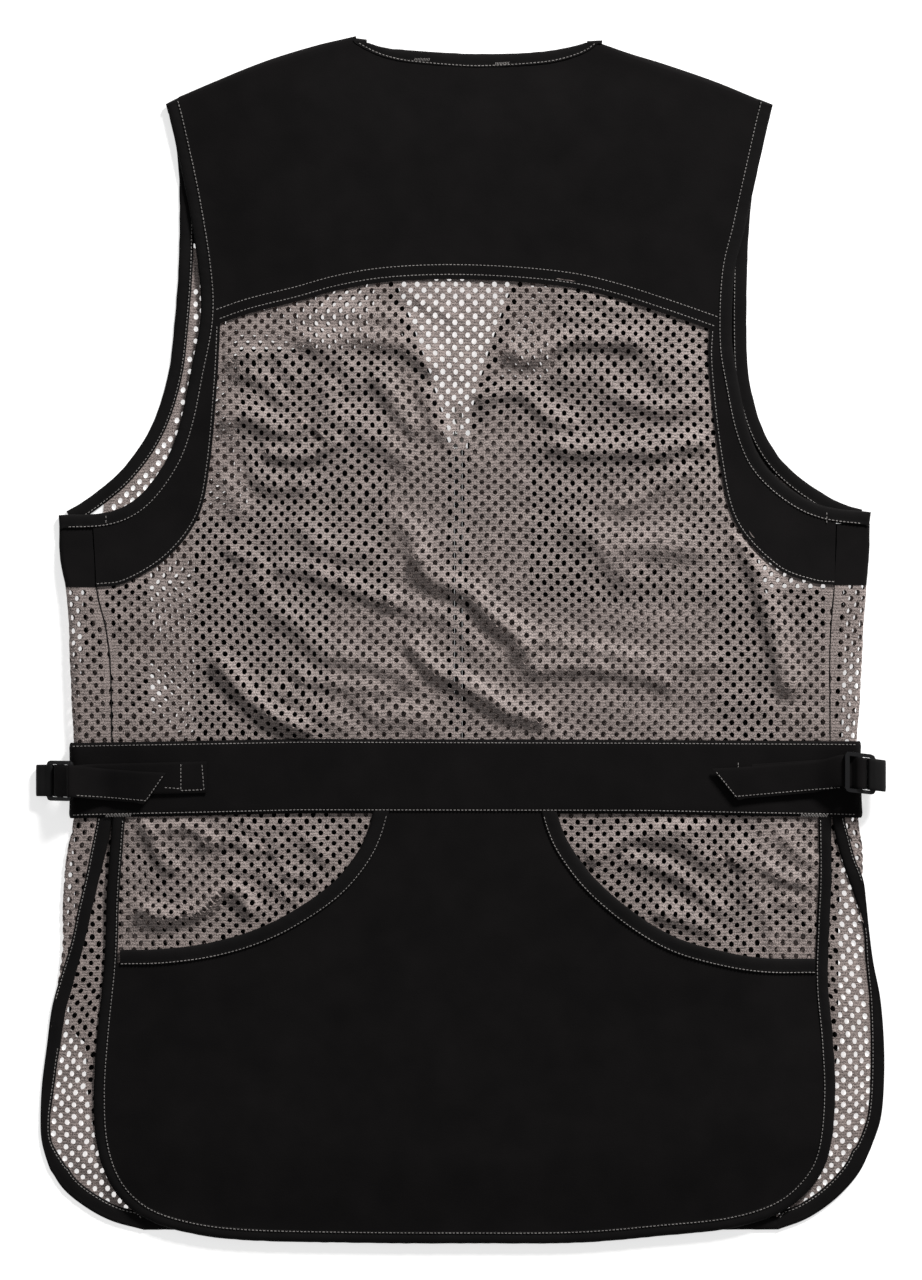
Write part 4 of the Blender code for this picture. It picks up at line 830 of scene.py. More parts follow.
def open_mesh(name, outline, place, shift, turn=0.0, sides=8, size=1.0):
    """A sheet with a lattice of holes.

    outline is in the sheet's own flat coordinates, and place puts them in space. shift and turn lay the
    lattice on the sheet; sides and size are the holes'. A cell is the diamond between four lattice points.
    """
    outline = np.asarray(outline, float)
    cosine, sine = math.cos(math.radians(turn)), math.sin(math.radians(turn))
    to_flat = np.array(((cosine, sine), (-sine, cosine)))
    local = (outline - shift) @ to_flat.T
    low = np.floor(local.min(axis=0) / LATTICE).astype(int) - 1
    high = np.ceil(local.max(axis=0) / LATTICE).astype(int) + 1
    m, n = np.meshgrid(np.arange(low[0], high[0] + 1), np.arange(low[1], high[1] + 1))
    lattice = (np.column_stack((m.ravel(), n.ravel())) * LATTICE) @ to_flat + shift
    spot, inside = nearest_on(outline, lattice)
    even = ((m + n) % 2 == 0).ravel()
    wide, tall = high - low + 1
    m, n = (m - low[0]).ravel(), (n - low[1]).ravel()
    inner = (m > 0) & (m < wide - 1) & (n > 0) & (n < tall - 1)
    cells = np.flatnonzero(even & inner & (inside > -2.4))
    corners = np.column_stack((cells + 1, cells + wide, cells - 1, cells - wide))
    holed = (inside[corners].min(axis=1) > 0.0) & (inside[cells] > HOLE_ROOM)
    grid = np.where((inside < 0.0)[:, None], spot, lattice)
    used, packed = np.unique(corners, return_inverse=True)
    corners = packed.reshape(-1, 4)

    angles = np.arange(sides) * 2 * math.pi / sides
    ring = np.column_stack((HOLE_X * size * np.cos(angles), HOLE_Y * size * np.sin(angles))) @ to_flat
    uneven = 1.0 + 0.05 * np.sin(cells[holed] * 1.7)
    rings = lattice[cells[holed]][:, None] + ring[None] * uneven[:, None, None]
    flat = np.vstack((grid[used], rings.reshape(-1, 2)))
    total = len(flat)
    first = len(used) + np.arange(holed.sum()) * sides

    def on_ring(k):
        return first + k % sides

    tops = []
    for q in range(4):
        near, far = corners[holed][:, q], corners[holed][:, (q + 1) % 4]
        start, end = math.ceil(q * sides / 4), (q + 1) * sides // 4
        half = (start + end + 1) // 2
        for k in range(start, end):
            tops.append(np.column_stack((near if k < half else far, on_ring(k + 1), on_ring(k))))
        if q * sides % 4:
            tops.append(np.column_stack((near, on_ring(start), on_ring(start - 1))))
        tops.append(np.column_stack((near, far, on_ring(half))))
    tops = np.vstack(tops)
    solid = corners[~holed]
    inner_walls = np.vstack([
        np.column_stack((on_ring(k), on_ring(k + 1), on_ring(k + 1) + total, on_ring(k) + total))
        for k in range(sides)
    ])
    faces = []
    for part in (tops[:, ::-1], tops + total, solid[:, ::-1], solid + total, inner_walls,
                 rim_of(corners, total)):
        faces += part.tolist()
    middle, normal = place(pulled_about(flat, outline))
    points = np.vstack((middle - normal * MESH / 2.0, middle + normal * MESH / 2.0))
    cut(outline)
    turn_outwards(new_piece(name, "grey_mesh", points, faces, np.tile(flat, (2, 1)), 60.0))


def on_height(height):
    """Places a flat mesh on a height function."""

    def place(flat):
        x, y = flat[:, 0], flat[:, 1]
        z = height(x, y)
        step = 0.8
        dx = (height(x + step, y) - z) / step
        dy = (height(x, y + step) - z) / step
        normal = np.column_stack((-dx, -dy, np.ones(len(x))))
        normal /= np.linalg.norm(normal, axis=1)[:, None]
        return np.column_stack((x, y, z + MESH / 2.0)), normal

    return place


# Back layer

HEM_ENDS = ((-236.0, -393.0), (236.0, -392.0))
BACK_LATTICE = (1.0, 2.6)


def armhole_seam(side):
    """Where the cloth ends in under the armhole's binding."""
    return offset(ARM[side], -side * (ARMHOLE_BAND - HIDDEN))


def back_seam(under=0.0):
    return offset(BACK, VENT_BAND - under)


def back_split():
    """Where the hem's binding starts and ends, as places in the back's outline."""
    return [int(np.argmin(np.hypot(*(BACK - corner).T))) for corner in HEM_ENDS]


def build_back_mesh():
    """The mesh from the yoke to the belt, a little way in under what is sewn on it."""
    under, low_y = 5.0, -80.0
    yoke = evenly(offset(YOKE, under), 40)
    yoke = yoke[(yoke[:, 0] > -170.0) & (yoke[:, 0] < 175.0)]
    curves, seams = {}, {}
    for side in SIDES:
        curves[side] = evenly(offset(CURVE[side], side * under), 30)
        seam = part_of(SEAMS[side], lambda x, y: y < 42.0, 14)
        between = (seam[:, 1] > low_y) & (seam[:, 1] < curves[side][-1, 1])
        seams[side] = np.vstack((seam[between], [(seam[-1, 0], low_y)]))
    outline = np.vstack((yoke[::-1], curves[-1], seams[-1], seams[1][::-1], curves[1][::-1]))
    open_mesh("back_mesh_cloth", outline, on_height(mesh_lift), BACK_LATTICE)


def build_lower_mesh():
    """The mesh that shows in the pouch's two scooped corners."""
    inner = back_seam(UNDER_EDGE)
    high_y, low_y, under = -112.0, -232.0, 8.0
    for side, word in SIDES.items():
        edge = inner[(side * inner[:, 0] > 0) & (inner[:, 1] < BELT_LOW_Y) & (inner[:, 1] > low_y)]
        edge = evenly(edge if side < 0 else edge[::-1], 12)
        scoop = evenly(offset(SCOOPS[side], side * under), 30)
        scoop = scoop[scoop[:, 1] < high_y - 1.0]
        outline = np.vstack(([(edge[0][0], high_y)], edge, scoop, [(scoop[-1][0], high_y)]))
        open_mesh(f"back_mesh_low_{word}", outline, on_height(mesh_lift), BACK_LATTICE)


def build_yoke():
    """The yoke over the back, turned over both shoulders and in under them."""
    turn_rows, past_arm, past_neck = 12, 4.0, 8.0
    folds_at, turned, falls = {}, {}, {}
    for side in SIDES:
        line = smooth(SHOULDER[side], 40)
        line[0] += (line[0] - line[1]) / np.linalg.norm(line[0] - line[1]) * past_arm
        line[-1] += (line[-1] - line[-2]) / np.linalg.norm(line[-1] - line[-2]) * past_neck
        away = -np.abs(left_normals(line)[:, 1:2]) * [[0.0, 1.0]] + left_normals(line) * [[side, 0.0]]
        falls[side] = away / np.linalg.norm(away, axis=1)[:, None]
        radius = (lift(line[:, 0], line[:, 1]) + CLOTH) / 2.0
        folds_at[side] = line + falls[side] * radius[:, None]
        turned[side] = (line, radius)
    neck = offset(part_of(NECK_INNER, lambda x, y: y < 417.5, 56), HIDDEN)
    top = np.vstack((folds_at[-1], neck[2:-2], folds_at[1][::-1]))
    left = part_of(armhole_seam(-1), lambda x, y: (y > 218.0) & (y < 378.0), 56)
    right = part_of(armhole_seam(1), lambda x, y: (y > 213.0) & (y < 375.0), 56)
    left[0], right[0] = top[0], top[-1]
    bottom = evenly(YOKE, len(top) - 1)
    bottom[0], bottom[-1] = left[-1], right[-1]
    flat = patch(top, bottom, left, right)
    cut(grid_border(flat))

    lower, upper = raised(flat, yoke_lift, CLOTH)
    columns = len(top)
    under_lower = np.full((turn_rows, columns, 3), np.nan)
    under_upper = np.full((turn_rows, columns, 3), np.nan)
    for side in SIDES:
        line, radius = turned[side]
        for k in range(len(line)):
            column = k if side < 0 else columns - 1 - k
            way = -falls[side][k]
            radius[k] = (lower[0, column, 2] + CLOTH) / 2.0
            for step in range(1, turn_rows):
                angle = math.radians(90.0 - 180.0 * step / (turn_rows - 1))
                for grid, reach in ((under_upper, radius[k]), (under_lower, radius[k] - CLOTH)):
                    place = line[k] + way * (reach * math.cos(angle) - radius[k])
                    grid[turn_rows - step, column] = (*place, radius[k] + reach * math.sin(angle))
            end = line[k] - way * TURN_UNDER
            under_upper[0, column] = (*end, 0.0)
            under_lower[0, column] = (*end, CLOTH)
    wall("yoke_cloth", "black_cloth", np.concatenate((under_lower, lower)),
         np.concatenate((under_upper, upper)))


def build_neck_tape():
    edge, seam = evenly(NECK, 90), evenly(NECK_INNER, 90)
    edge[0, 1] += 1.6
    seam[0, 1] += 3.0
    edge[-1, 1] += 0.4
    seam[-1, 1] += 1.2
    up = (0.0, 1.0)
    tape("neck_tape", "black_binding", edge, seam, lambda x, y: lift(x, y) + 0.3, NECK_TAPE,
         (up, up))


def scoop_line(side, extra):
    """A line beside a scoop's edge, as far as the belt and the back's binding."""
    path = offset(SCOOPS[side], side * extra)
    ceiling = belt_edge(path[:, 0], True) + 3.0
    seam = back_seam(2.0)
    low, high = back_split()
    edge = seam[: low + 1][::-1] if side < 0 else seam[high:]
    walls = np.interp(path[:, 1], edge[:, 1], edge[:, 0])
    return path[(path[:, 1] < ceiling) & (side * (walls - path[:, 0]) > 0.0)]


def build_pouch():
    inner = back_seam(HIDDEN)
    low, high = back_split()
    lines = {side: scoop_line(side, SCOOP_BAND - HIDDEN) for side in SIDES}
    across = np.linspace(lines[-1][-1, 0], lines[1][-1, 0], 32)[1:-1]
    middle = np.column_stack((across, belt_edge(across, True) + 3.0))
    top = np.vstack((evenly(lines[-1], 50), middle, evenly(lines[1], 50)[::-1]))
    left = evenly([p for p in inner[: low + 1] if p[1] < top[0, 1] - 2.0], 60)
    right = evenly([p for p in inner[high:] if p[1] < top[-1, 1] - 2.0], 60)[::-1]
    bottom = evenly(inner[low : high + 1], len(top) - 1)
    left[0], right[0] = top[0], top[-1]
    flat = patch(top, bottom, left, right)
    cut(grid_border(flat))
    wall("pouch_cloth", "black_cloth", *raised(flat, pouch_lift, CLOTH))


def build_scoop_tapes():
    for side, word in SIDES.items():
        edge = evenly(scoop_line(side, 0.0), 110)
        seam = evenly(scoop_line(side, SCOOP_BAND), 110)
        tape(f"scoop_tape_{word}", "black_binding", edge, seam, pouch_lift, SCOOP_TAPE)


def build_back_tapes():
    inner = back_seam()
    low, high = back_split()
    for word, start, end, count in (
        ("left", 0, low, 120), ("hem", low, high, 200), ("right", high, len(BACK) - 1, 120),
    ):
        first = evenly(BACK[start : end + 1], count)
        second = evenly(inner[start : end + 1], count)
        tape(f"back_tape_{word}", "black_binding", first, second, lift, BACK_TAPE)


def build_facings():
    for side, word in SIDES.items():
        top_y = CURVE[side][0, 1] + 3.0
        limit = SEAMS[side][0, 0]
        first = part_of(armhole_seam(side), lambda x, y: (y < top_y) & (side * x < side * limit), 90)
        second = evenly(CURVE[side], 90)
        second[0, 1] = first[0, 1]
        flat = ruled(first, second, 24)
        cut(grid_border(flat))
        wall(f"facing_cloth_{word}", "black_cloth", *raised(flat, yoke_lift, CLOTH))


def build_armhole_tapes():
    for side, word in SIDES.items():
        inner = offset(ARM[side], -side * ARMHOLE_BAND)
        first, second = evenly(ARM[side], 200), evenly(inner, 200)
        second[0, 1] += SHOULDER_RISE[side]
        ends = ((0.24 * side, 0.97), (float(side), 0.0))
        tape(f"armhole_tape_back_{word}", "black_binding", first, second, lambda x, y: lift(x, y) + 0.2,
             ARM_TAPE, ends)
        path = smooth(FRONT_ARMHOLE[side])
        inner = offset(path, -side * ARMHOLE_BAND)
        keep = (path[:, 1] < 368.0) & (side * path[:, 0] < side * path[-1, 0] - 5.0)
        first, second = evenly(path[keep], 160), evenly(inner[keep], 160)
        tape(f"armhole_tape_front_{word}", "black_binding", first, second, level_at(0.0), FRONT_TAPE)


# Folded sides. A fold's height is taken this far in from it.

FOLD_REACH = 4.0


def wrap_height(side, x, y):
    """How high the upper layer lies beside a side fold, low where the vent opens."""
    rows = WRAP_CAP[side]
    return np.minimum(lift(x, y), np.interp(y, [row.y for row in rows], [row.height for row in rows]))


def fold_radius(side, y, thickness):
    """A side fold's outermost x, its outer radius, and the radius of its cloth's middle."""
    x_out = at_y(FOLD[side], y)
    radius = (wrap_height(side, x_out - side * FOLD_REACH, y) + thickness) / 2.0
    return x_out, radius, np.maximum(radius - thickness / 2.0, 0.3)


def wrap_place(side, thickness, rise=0.0):
    """Puts a side piece in space. Its first coordinate is 0 at the fold and positive on the upper side."""
    inner_edge, outer_edge, _ = vent_rows(side)
    held = (inner_edge + outer_edge) / 2.0
    held = held[held[:, 1] < WRAP_END_Y[side] - 2.0]

    def at(s, y):
        x_out, radius, small = fold_radius(side, y, thickness)
        x_out = x_out + side * 0.35 * ripple(y, y * 0.3, 17.0, 1)
        angle = np.clip(s / small, -math.pi / 2, math.pi / 2)
        inner = np.maximum(np.abs(s) - small * math.pi / 2, 0.0)
        x = x_out - side * np.where(inner > 0.0, radius + inner, radius - small * np.cos(angle))
        above = (s > 0) & (inner > 0.0)
        below = (s < 0) & (inner > 0.0)
        more = wrap_height(side, x, y) - wrap_height(side, x_out - side * FOLD_REACH, y)
        z = radius + small * np.sin(angle) + np.where(above, more, 0.0)
        free = eased(inner / 16.0) * eased((distance_to([held], x, y) - CORNER_BAND / 2.0) / 15.0)
        flared = 1.0 + ripple(x, y, 27.0, 3) + 0.4 * ripple(x, y, 12.0, 1)
        lifted = front_lift(x, y) + rise * eased((-60.0 - y) / 40.0)
        lifted = lifted + np.maximum(flared, 0.0) * eased((-190.0 - y) / 40.0)
        z = z + np.where(below, free * lifted, 0.0)
        bumps = 0.35 * ripple(x, y, 24.0, 2) * eased(inner / 5.0) * above
        return np.column_stack((x, y, z + bumps))

    def place(flat):
        s, y = flat[:, 0], flat[:, 1]
        step = 0.5
        here = at(s, y)
        along = at(s + step, y) - here
        down = at(s, y + step) - here
        normal = np.cross(along, down) * side
        normal /= np.maximum(np.linalg.norm(normal, axis=1), 1e-9)[:, None]
        return here, normal

    return place


def unwrapped(side, points):
    """The flat coordinates of mesh points on the lower layer."""
    points = np.asarray(points, float)
    x_out, radius, small = fold_radius(side, points[:, 1], MESH)
    s = -(small * math.pi / 2 + side * (x_out - points[:, 0]) - radius)
    return np.column_stack((s, points[:, 1]))


def wrap_edges(side, y, thickness):
    """The flat coordinate of a side piece's seam or vent edge, and of its edge on the floor."""
    x_out, radius, small = fold_radius(side, y, thickness)
    vent_y = [row.y for row in VENT[side]][::-1]
    vent_x = np.interp(y, vent_y, [row.outer for row in VENT[side]][::-1])
    end = np.where(y > -119.0, at_y(SEAMS[side], y), vent_x - side * UNDER_EDGE)
    quarter = small * math.pi / 2
    top = quarter + side * (x_out - end) - radius
    return top, -(quarter + side * (x_out - SIDE_PANEL_X[side]) - radius)


def build_armhole_sides():
    for side, word in SIDES.items():
        low = float(CURVE[side][-1, 1])
        y = np.linspace(float(ARM[side][-1, 1]) - ARMHOLE_BAND + 2.0, low, 16)
        top, floor = wrap_edges(side, y, CLOTH)
        share = np.linspace(0.0, 1.0, 40)
        s = top[:, None] * (1 - share) + floor[:, None] * share
        flat = np.dstack((s, np.repeat(y[:, None], s.shape[1], axis=1)))
        middle, normal = wrap_place(side, CLOTH)(flat.reshape(-1, 2))
        shape = (*s.shape, 3)
        name = f"armhole_side_{word}_cloth"
        cut(grid_border(flat))
        wall(name, "black_cloth", (middle - normal * CLOTH / 2).reshape(shape),
             (middle + normal * CLOTH / 2).reshape(shape))


def build_front_mesh(side, outline, shift):
    """A front side panel in one piece, from its border on the floor round the fold to the side seam."""
    top_y = float(CURVE[side][-1, 1]) + 4.0
    y = np.concatenate((np.linspace(top_y, -118.0, 30), np.linspace(-121.0, WRAP_END_Y[side], 24)))
    top, _ = wrap_edges(side, y, MESH)
    inner, outer, _ = vent_rows(side)
    vent = (inner + outer) / 2.0
    vent = vent[vent[:, 1] < WRAP_END_Y[side] - 2.0]
    low = unwrapped(side, np.vstack((vent, outline, [(SIDE_PANEL_X[side], top_y)])))
    whole = np.vstack((np.column_stack((top, y)), low))
    open_mesh(f"front_mesh_{SIDES[side]}_cloth", whole, wrap_place(side, MESH, FRONT_RISE), shift)


# The belt across its width, as shares of width and thickness, and the angles that its ends turn through
BELT_PROFILE = ((0.0, 0.45), (0.025, 0.8), (0.07, 1.0), (0.13, 0.97), (0.3, 1.0), (0.5, 1.0), (0.7, 1.0),
                (0.87, 0.97), (0.93, 1.0), (0.975, 0.8), (1.0, 0.45))
BELT_TURN = (80.0, -24.0)


def build_belt():
    """The belt over the mesh, its two ends turned over the side folds."""
    lower, upper, border = [], [], []
    for share, full in BELT_PROFILE:
        ends, radii = {}, {}
        for side in SIDES:
            y = belt_edge(side * 272.0, False) * (1 - share) + belt_edge(side * 272.0, True) * share
            ends[side] = float(at_y(SIDE[side], y)) + side * 0.5
            radii[side] = (float(lift(np.array(ends[side] - side * FOLD_REACH), np.array(y))) + 1.0) / 2.0
        x = np.linspace(ends[-1] + radii[-1], ends[1] - radii[1], 260)
        y = belt_edge(x, False) * (1 - share) + belt_edge(x, True) * share
        level = belt_lift(x, y)
        soft = 0.3 * ripple(x, y * 0.6, 60.0, 1) + 0.16 * ripple(x, y, 19.0, 4)
        turn = math.radians(BELT_TURN[0] - BELT_TURN[1]) * (level[[0, -1]] / 2.0 + BELT / 2.0)
        flat_x = np.concatenate(([x[0] - turn[0]], x, [x[-1] + turn[1]]))
        border.append(np.column_stack((flat_x, [y[0], *y, y[-1]])))
        row = [np.column_stack((x, y, level)), np.column_stack((x, y, level + BELT * full + soft))]
        for side in SIDES:
            end = 0 if side < 0 else -1
            base = level[end] - 0.4
            for angle in np.radians(np.linspace(*BELT_TURN, 12)):
                for k, extra in enumerate((0.4, 0.4 + BELT * full)):
                    reach = base / 2.0 + extra
                    out, up = reach * math.cos(angle), reach * math.sin(angle)
                    made = (x[end] + side * out, y[end], base / 2.0 + up)
                    row[k] = np.vstack((made, row[k])) if side < 0 else np.vstack((row[k], made))
        lower.append(row[0])
        upper.append(row[1])
    cut(grid_border(np.array(border)))
    wall("belt_cloth", "black_cloth", np.array(lower), np.array(upper))


# Front layer


def vent_rows(side):
    """The inner and outer edge of a front vent's tape with its corner, and what lies under it."""
    rows = VENT[side]
    inner = [(row.inner, row.y) for row in rows]
    outer = [(row.outer, row.y) for row in rows]
    corner = smooth(FRONT_CORNER[side], 12)[1:]
    turned = offset(smooth(FRONT_CORNER[side], 12), -side * CORNER_BAND)[1:]
    turned[-1] = (corner[-1][0], FRONT_HEM_Y + VENT_BAND)
    under = [row.under for row in rows] + [0.0] * len(corner)
    return np.vstack((inner, turned)), np.vstack((outer, corner)), np.array(under)


def build_vent_tapes():
    for side, word in SIDES.items():
        inner, outer, under = vent_rows(side)
        first, second = smooth(inner, 150), smooth(outer, 150)
        level = smooth(np.column_stack((inner, under)), 150)[:, 2]
        ys = first[:, 1]
        tape(f"front_vent_tape_{word}", "black_binding", first, second,
             lambda x, y: np.maximum(np.interp(y, ys[::-1], level[::-1]), 0.0), FRONT_TAPE)
    x = np.linspace(FRONT_CORNER[-1][-1][0], FRONT_CORNER[1][-1][0], 90)
    first = np.column_stack((x, np.full(90, FRONT_HEM_Y)))
    tape("front_hem_tape", "black_binding", first, first + [0.0, VENT_BAND], level_at(0.0))
    for side, word in SIDES.items():
        path = smooth(V_EDGE[side], 110)
        tape(f"v_tape_{word}", "black_binding", path, offset(path, side * V_BAND), level_at(0.0))


def front_lift(x, y):
    """The front rises off the floor where the back doesn't press on it."""
    share = eased((distance_to(FREE_EDGES, x, y) - 14.0) / 60.0)
    return share * (1.6 + 0.8 * ripple(x, y, 70.0, 1))


def build_front_panels():
    """The front's cloth and mesh. Each outline is listed counterclockwise."""
    inset = -1.5
    arm = {side: offset(smooth(FRONT_ARMHOLE[side]), -side * (ARMHOLE_BAND + inset)) for side in SIDES}
    vee = {side: offset(smooth(V_EDGE[side]), side * (V_BAND + inset)) for side in SIDES}
    hem = FRONT_HEM_Y + VENT_BAND + inset
    under = {side: offset(smooth(SHOULDER[side], 8), side * TURN_UNDER) for side in SIDES}

    def arm_part(side, high, low, count):
        limit = abs(SIDE_PANEL_X[side])
        return part_of(arm[side], lambda x, y: (y < high) & (y > low) & (side * x < limit), count).tolist()

    def vee_part(side, high, low, count):
        return part_of(vee[side], lambda x, y: (y < high) & (y > low), count).tolist()

    high, chest_y, pocket_x, patch_x = 277.0, 199.0, -182.0, -152.0
    shoulder = under[-1].tolist()
    vee_low = vee_part(-1, chest_y, 145.0, 4)
    edge = [(patch_x, chest_y), (patch_x, 137.0), (-137.0, 84.0), (pocket_x, 80.0), (pocket_x, hem)]
    black = {
        "front_yoke_left_cloth": arm_part(-1, shoulder[0][1] - 1.0, high, 6)
        + vee_part(-1, shoulder[-1][1] - 8.0, high, 6)[::-1] + shoulder[::-1],
        "front_panel_left_cloth": [(x - GROWN, y + (GROWN if y > 0 else 0.0)) for x, y in edge]
        + [(-8.0, hem), (-8.0, 140.0)] + vee_low[::-1] + [(vee_low[0][0], chest_y + GROWN)],
    }
    mesh_edge = edge[::-1] + [(vee_low[0][0], chest_y)] + vee_part(-1, high, chest_y, 3)[::-1]
    mesh_edge += arm_part(-1, high, 78.0, 12) + [(SIDE_PANEL_X[-1], 90.0)]
    build_front_mesh(-1, mesh_edge, (1.2, 2.6))

    shoulder, high = under[1].tolist(), 250.0
    strip_x, strip_y, patch_y, chest_x, pocket_y, pocket_x = 67.0, 180.0, 115.0, 91.0, 28.0, 217.0
    vee_high, vee_low = vee_part(1, high, strip_y, 4), vee_part(1, strip_y, 145.0, 4)
    arm_high, arm_low = arm_part(1, high, patch_y, 8), arm_part(1, patch_y, 80.0, 5)
    edge = [(strip_x, strip_y), (strip_x, patch_y), (chest_x, patch_y), (chest_x, pocket_y),
            (pocket_x, pocket_y), (pocket_x, hem)]
    grown = [(x + GROWN, y + (GROWN if y > 0 else 0.0)) for x, y in edge]
    black.update({
        "front_yoke_right_cloth": shoulder + vee_part(1, shoulder[-1][1] - 8.0, high, 6)
        + arm_part(1, shoulder[0][1] - 1.0, high, 6)[::-1],
        "shoulder_patch_cloth": [(strip_x, high), (strip_x, patch_y), (arm_high[-1][0], patch_y)]
        + arm_high[::-1],
        "front_panel_right_cloth": vee_low + [(5.0, 140.0), (5.0, hem)] + grown[::-1],
    })
    chest = vee_high + [(vee_high[-1][0], strip_y), (strip_x, strip_y), (strip_x, high)]
    open_mesh("front_mesh_chest_cloth", chest, on_height(front_lift), (1.0, 2.0), turn=-2.0, sides=6,
              size=1.04)
    mesh_edge = edge[:1:-1] + [(arm_low[0][0], patch_y)] + arm_low + [(SIDE_PANEL_X[1], 88.0)]
    build_front_mesh(1, mesh_edge, (4.2, 2.6))
    for name, outline in black.items():
        filled_sheet(name, "black_cloth", np.array(outline), front_lift)
    for name, (slot, thickness, base, outline) in INSIDE.items():
        level = level_at(0.0) if base is None else lambda x, y: front_lift(x, y) + base + bulge(x, y)
        filled_sheet(name, slot, np.array(outline, float), level, thickness)


def bulge(x, y):
    """Where the lining comes up to the back mesh."""
    return 2.0 * np.exp(-(((x - 110.0) / 45.0) ** 2) - ((y + 15.0) / 45.0) ** 2)


def filled_sheet(name, slot, outline, height, thickness=CLOTH):
    """A sheet that fills an outline with even cells, its border cells drawn to the outline."""
    cell = 7.0
    low, high = outline.min(axis=0), outline.max(axis=0)
    columns, rows = np.ceil((high - low) / cell).astype(int) + 2
    m, n = np.meshgrid(np.arange(columns + 1), np.arange(rows + 1), indexing="ij")
    grid = np.column_stack((m.ravel(), n.ravel())) * cell + low - cell / 2
    index = np.arange(len(grid)).reshape(columns + 1, rows + 1)
    corners = np.stack((index[:-1, :-1], index[1:, :-1], index[1:, 1:], index[:-1, 1:]), axis=-1)
    corners = corners.reshape(-1, 4)
    corners = corners[nearest_on(outline, grid[corners].mean(axis=1))[1] > -0.4 * cell]
    spot, inside = nearest_on(outline, grid)
    grid = np.where((inside < 0.0)[:, None], spot, grid)
    level = height(grid[:, 0], grid[:, 1])
    lower, upper = (np.column_stack((grid, z)) for z in (level, level + thickness))
    cut(outline)
    closed(name, slot, lower, upper, corners, grid)


def build_zip():
    foot, top, count = FRONT_HEM_Y + VENT_BAND, 133.8, 120
    for name, slot, low, high, level in (
        ("zip_tape_left_cloth", "black_binding", -9.4, -4.3, 1.0),
        ("zip_tape_right_cloth", "black_binding", 1.3, 6.4, 1.0),
        ("zip_teeth", "black_plastic", -4.1, 1.1, 2.2),
    ):
        y = np.linspace(foot, top, count)
        flat = np.stack([np.column_stack((np.full(count, x), y)) for x in (low, high)], axis=1)
        lower, upper = raised(flat, level_at(0.05), level)
        if name == "zip_teeth":
            upper[::2, :, 2] -= 0.9
        wall(name, slot, lower, upper)


# Straps and buckles

# How strap and webbing go round a buckle's bars, along the buckle and above its middle
ROUND_BARS = {
    -1: (
        (-13, -3.1), (-8, -3), (-3, -2.9), (0.6, -2.8), (3.1, -1.9), (3.6, 0.2), (2.9, 2.3),
        (0.4, 3), (-3, 3), (-9, 3), (-13, 2.7),
    ),
    1: (
        (-13, -4.5), (-6, -4.5), (-1, -4), (2.4, -2.8), (3.5, -0.4), (3, 2.1), (0.6, 3),
        (-1.8, 2.2), (-3.4, 0), (-5.2, -2.2), (-7.5, -2.8), (-10, -2.8), (-13, -2.8),
    ),
}
WEBBING_ROUND_BAR = ((11.2, 3.2), (8.8, 2.7), (6.6, 1.7), (6, -0.4), (7, -2.5), (9.4, -2.9))
# A buckle's middle, how far from the vest's middle, and its turns; where its strap is sewn on, ends and
# comes down on the belt, and how slanted the strap's end is
Buckle = namedtuple("Buckle", "out z y tilt skew anchor_out anchor_y tip_out tip_y slant join_out")
BUCKLES = {
    -1: Buckle(279.3, 10.8, -98.5, 35, 0, 177, -96, 213, -104, -8, 252),
    1: Buckle(278, 16.2, -93, 12, 0.12, 203, -98, 184.5, -101, -9, 250),
}
WEBBING_START = {
    -1: ((277, 1.5), (283, 0.9), (290, 0.9), (294.6, 1.9), (296.2, 4.2), (294.4, 6.4)),
    1: ((283, 2.6), (289, 4.4), (294, 8.4), (296, 12.6), (293.6, 15.6)),
}
STRAP_WIDTH = 22.0
STRAP_ACROSS = ((-1.0, 0.35), (-0.94, 0.8), (-0.8, 1.0), (-0.4, 1.0), (0.0, 1.0), (0.4, 1.0), (0.8, 1.0),
                (0.94, 0.8), (1.0, 0.35))

# Where a tail's stitches start beside its buckle, and where a vent's go from its outer edge to its inner
TAIL_ROW_START = {-1: 12, 1: 13}
VENT_TURN_Y = {-1: -254, 1: -170}

# Short sewn rows, by their corners
ANCHOR_ROWS = (
    ((-195, -86.5), (-195, -105.4), (-178.9, -104.7), (-180.3, -87)),
    ((-206.9, -103.3), (-195.7, -104)),
    ((193.6, -85.8), (193.6, -90)),
)
SEAM_TICKS = (((-247.8, 87.2), (-247.8, 80.9)), ((255.9, 89.3), (255.9, 80.9)))
NECK_TACKS = (((-32.5, 405.3), (-21.4, 405.1)), ((24, 402.2), (34, 402.6)))
BELT_TACKS = (((-248, -123.1), (-230, -122.8)), ((237.6, -122.8), (256.5, -123.1)))


def beside_buckle(buckle, u, w):
    """The place that is u along a buckle and w above its middle."""
    turn = math.radians(buckle.tilt)
    out = buckle.out + u * math.cos(turn) + w * math.sin(turn)
    return out, buckle.z - u * math.sin(turn) + w * math.cos(turn)


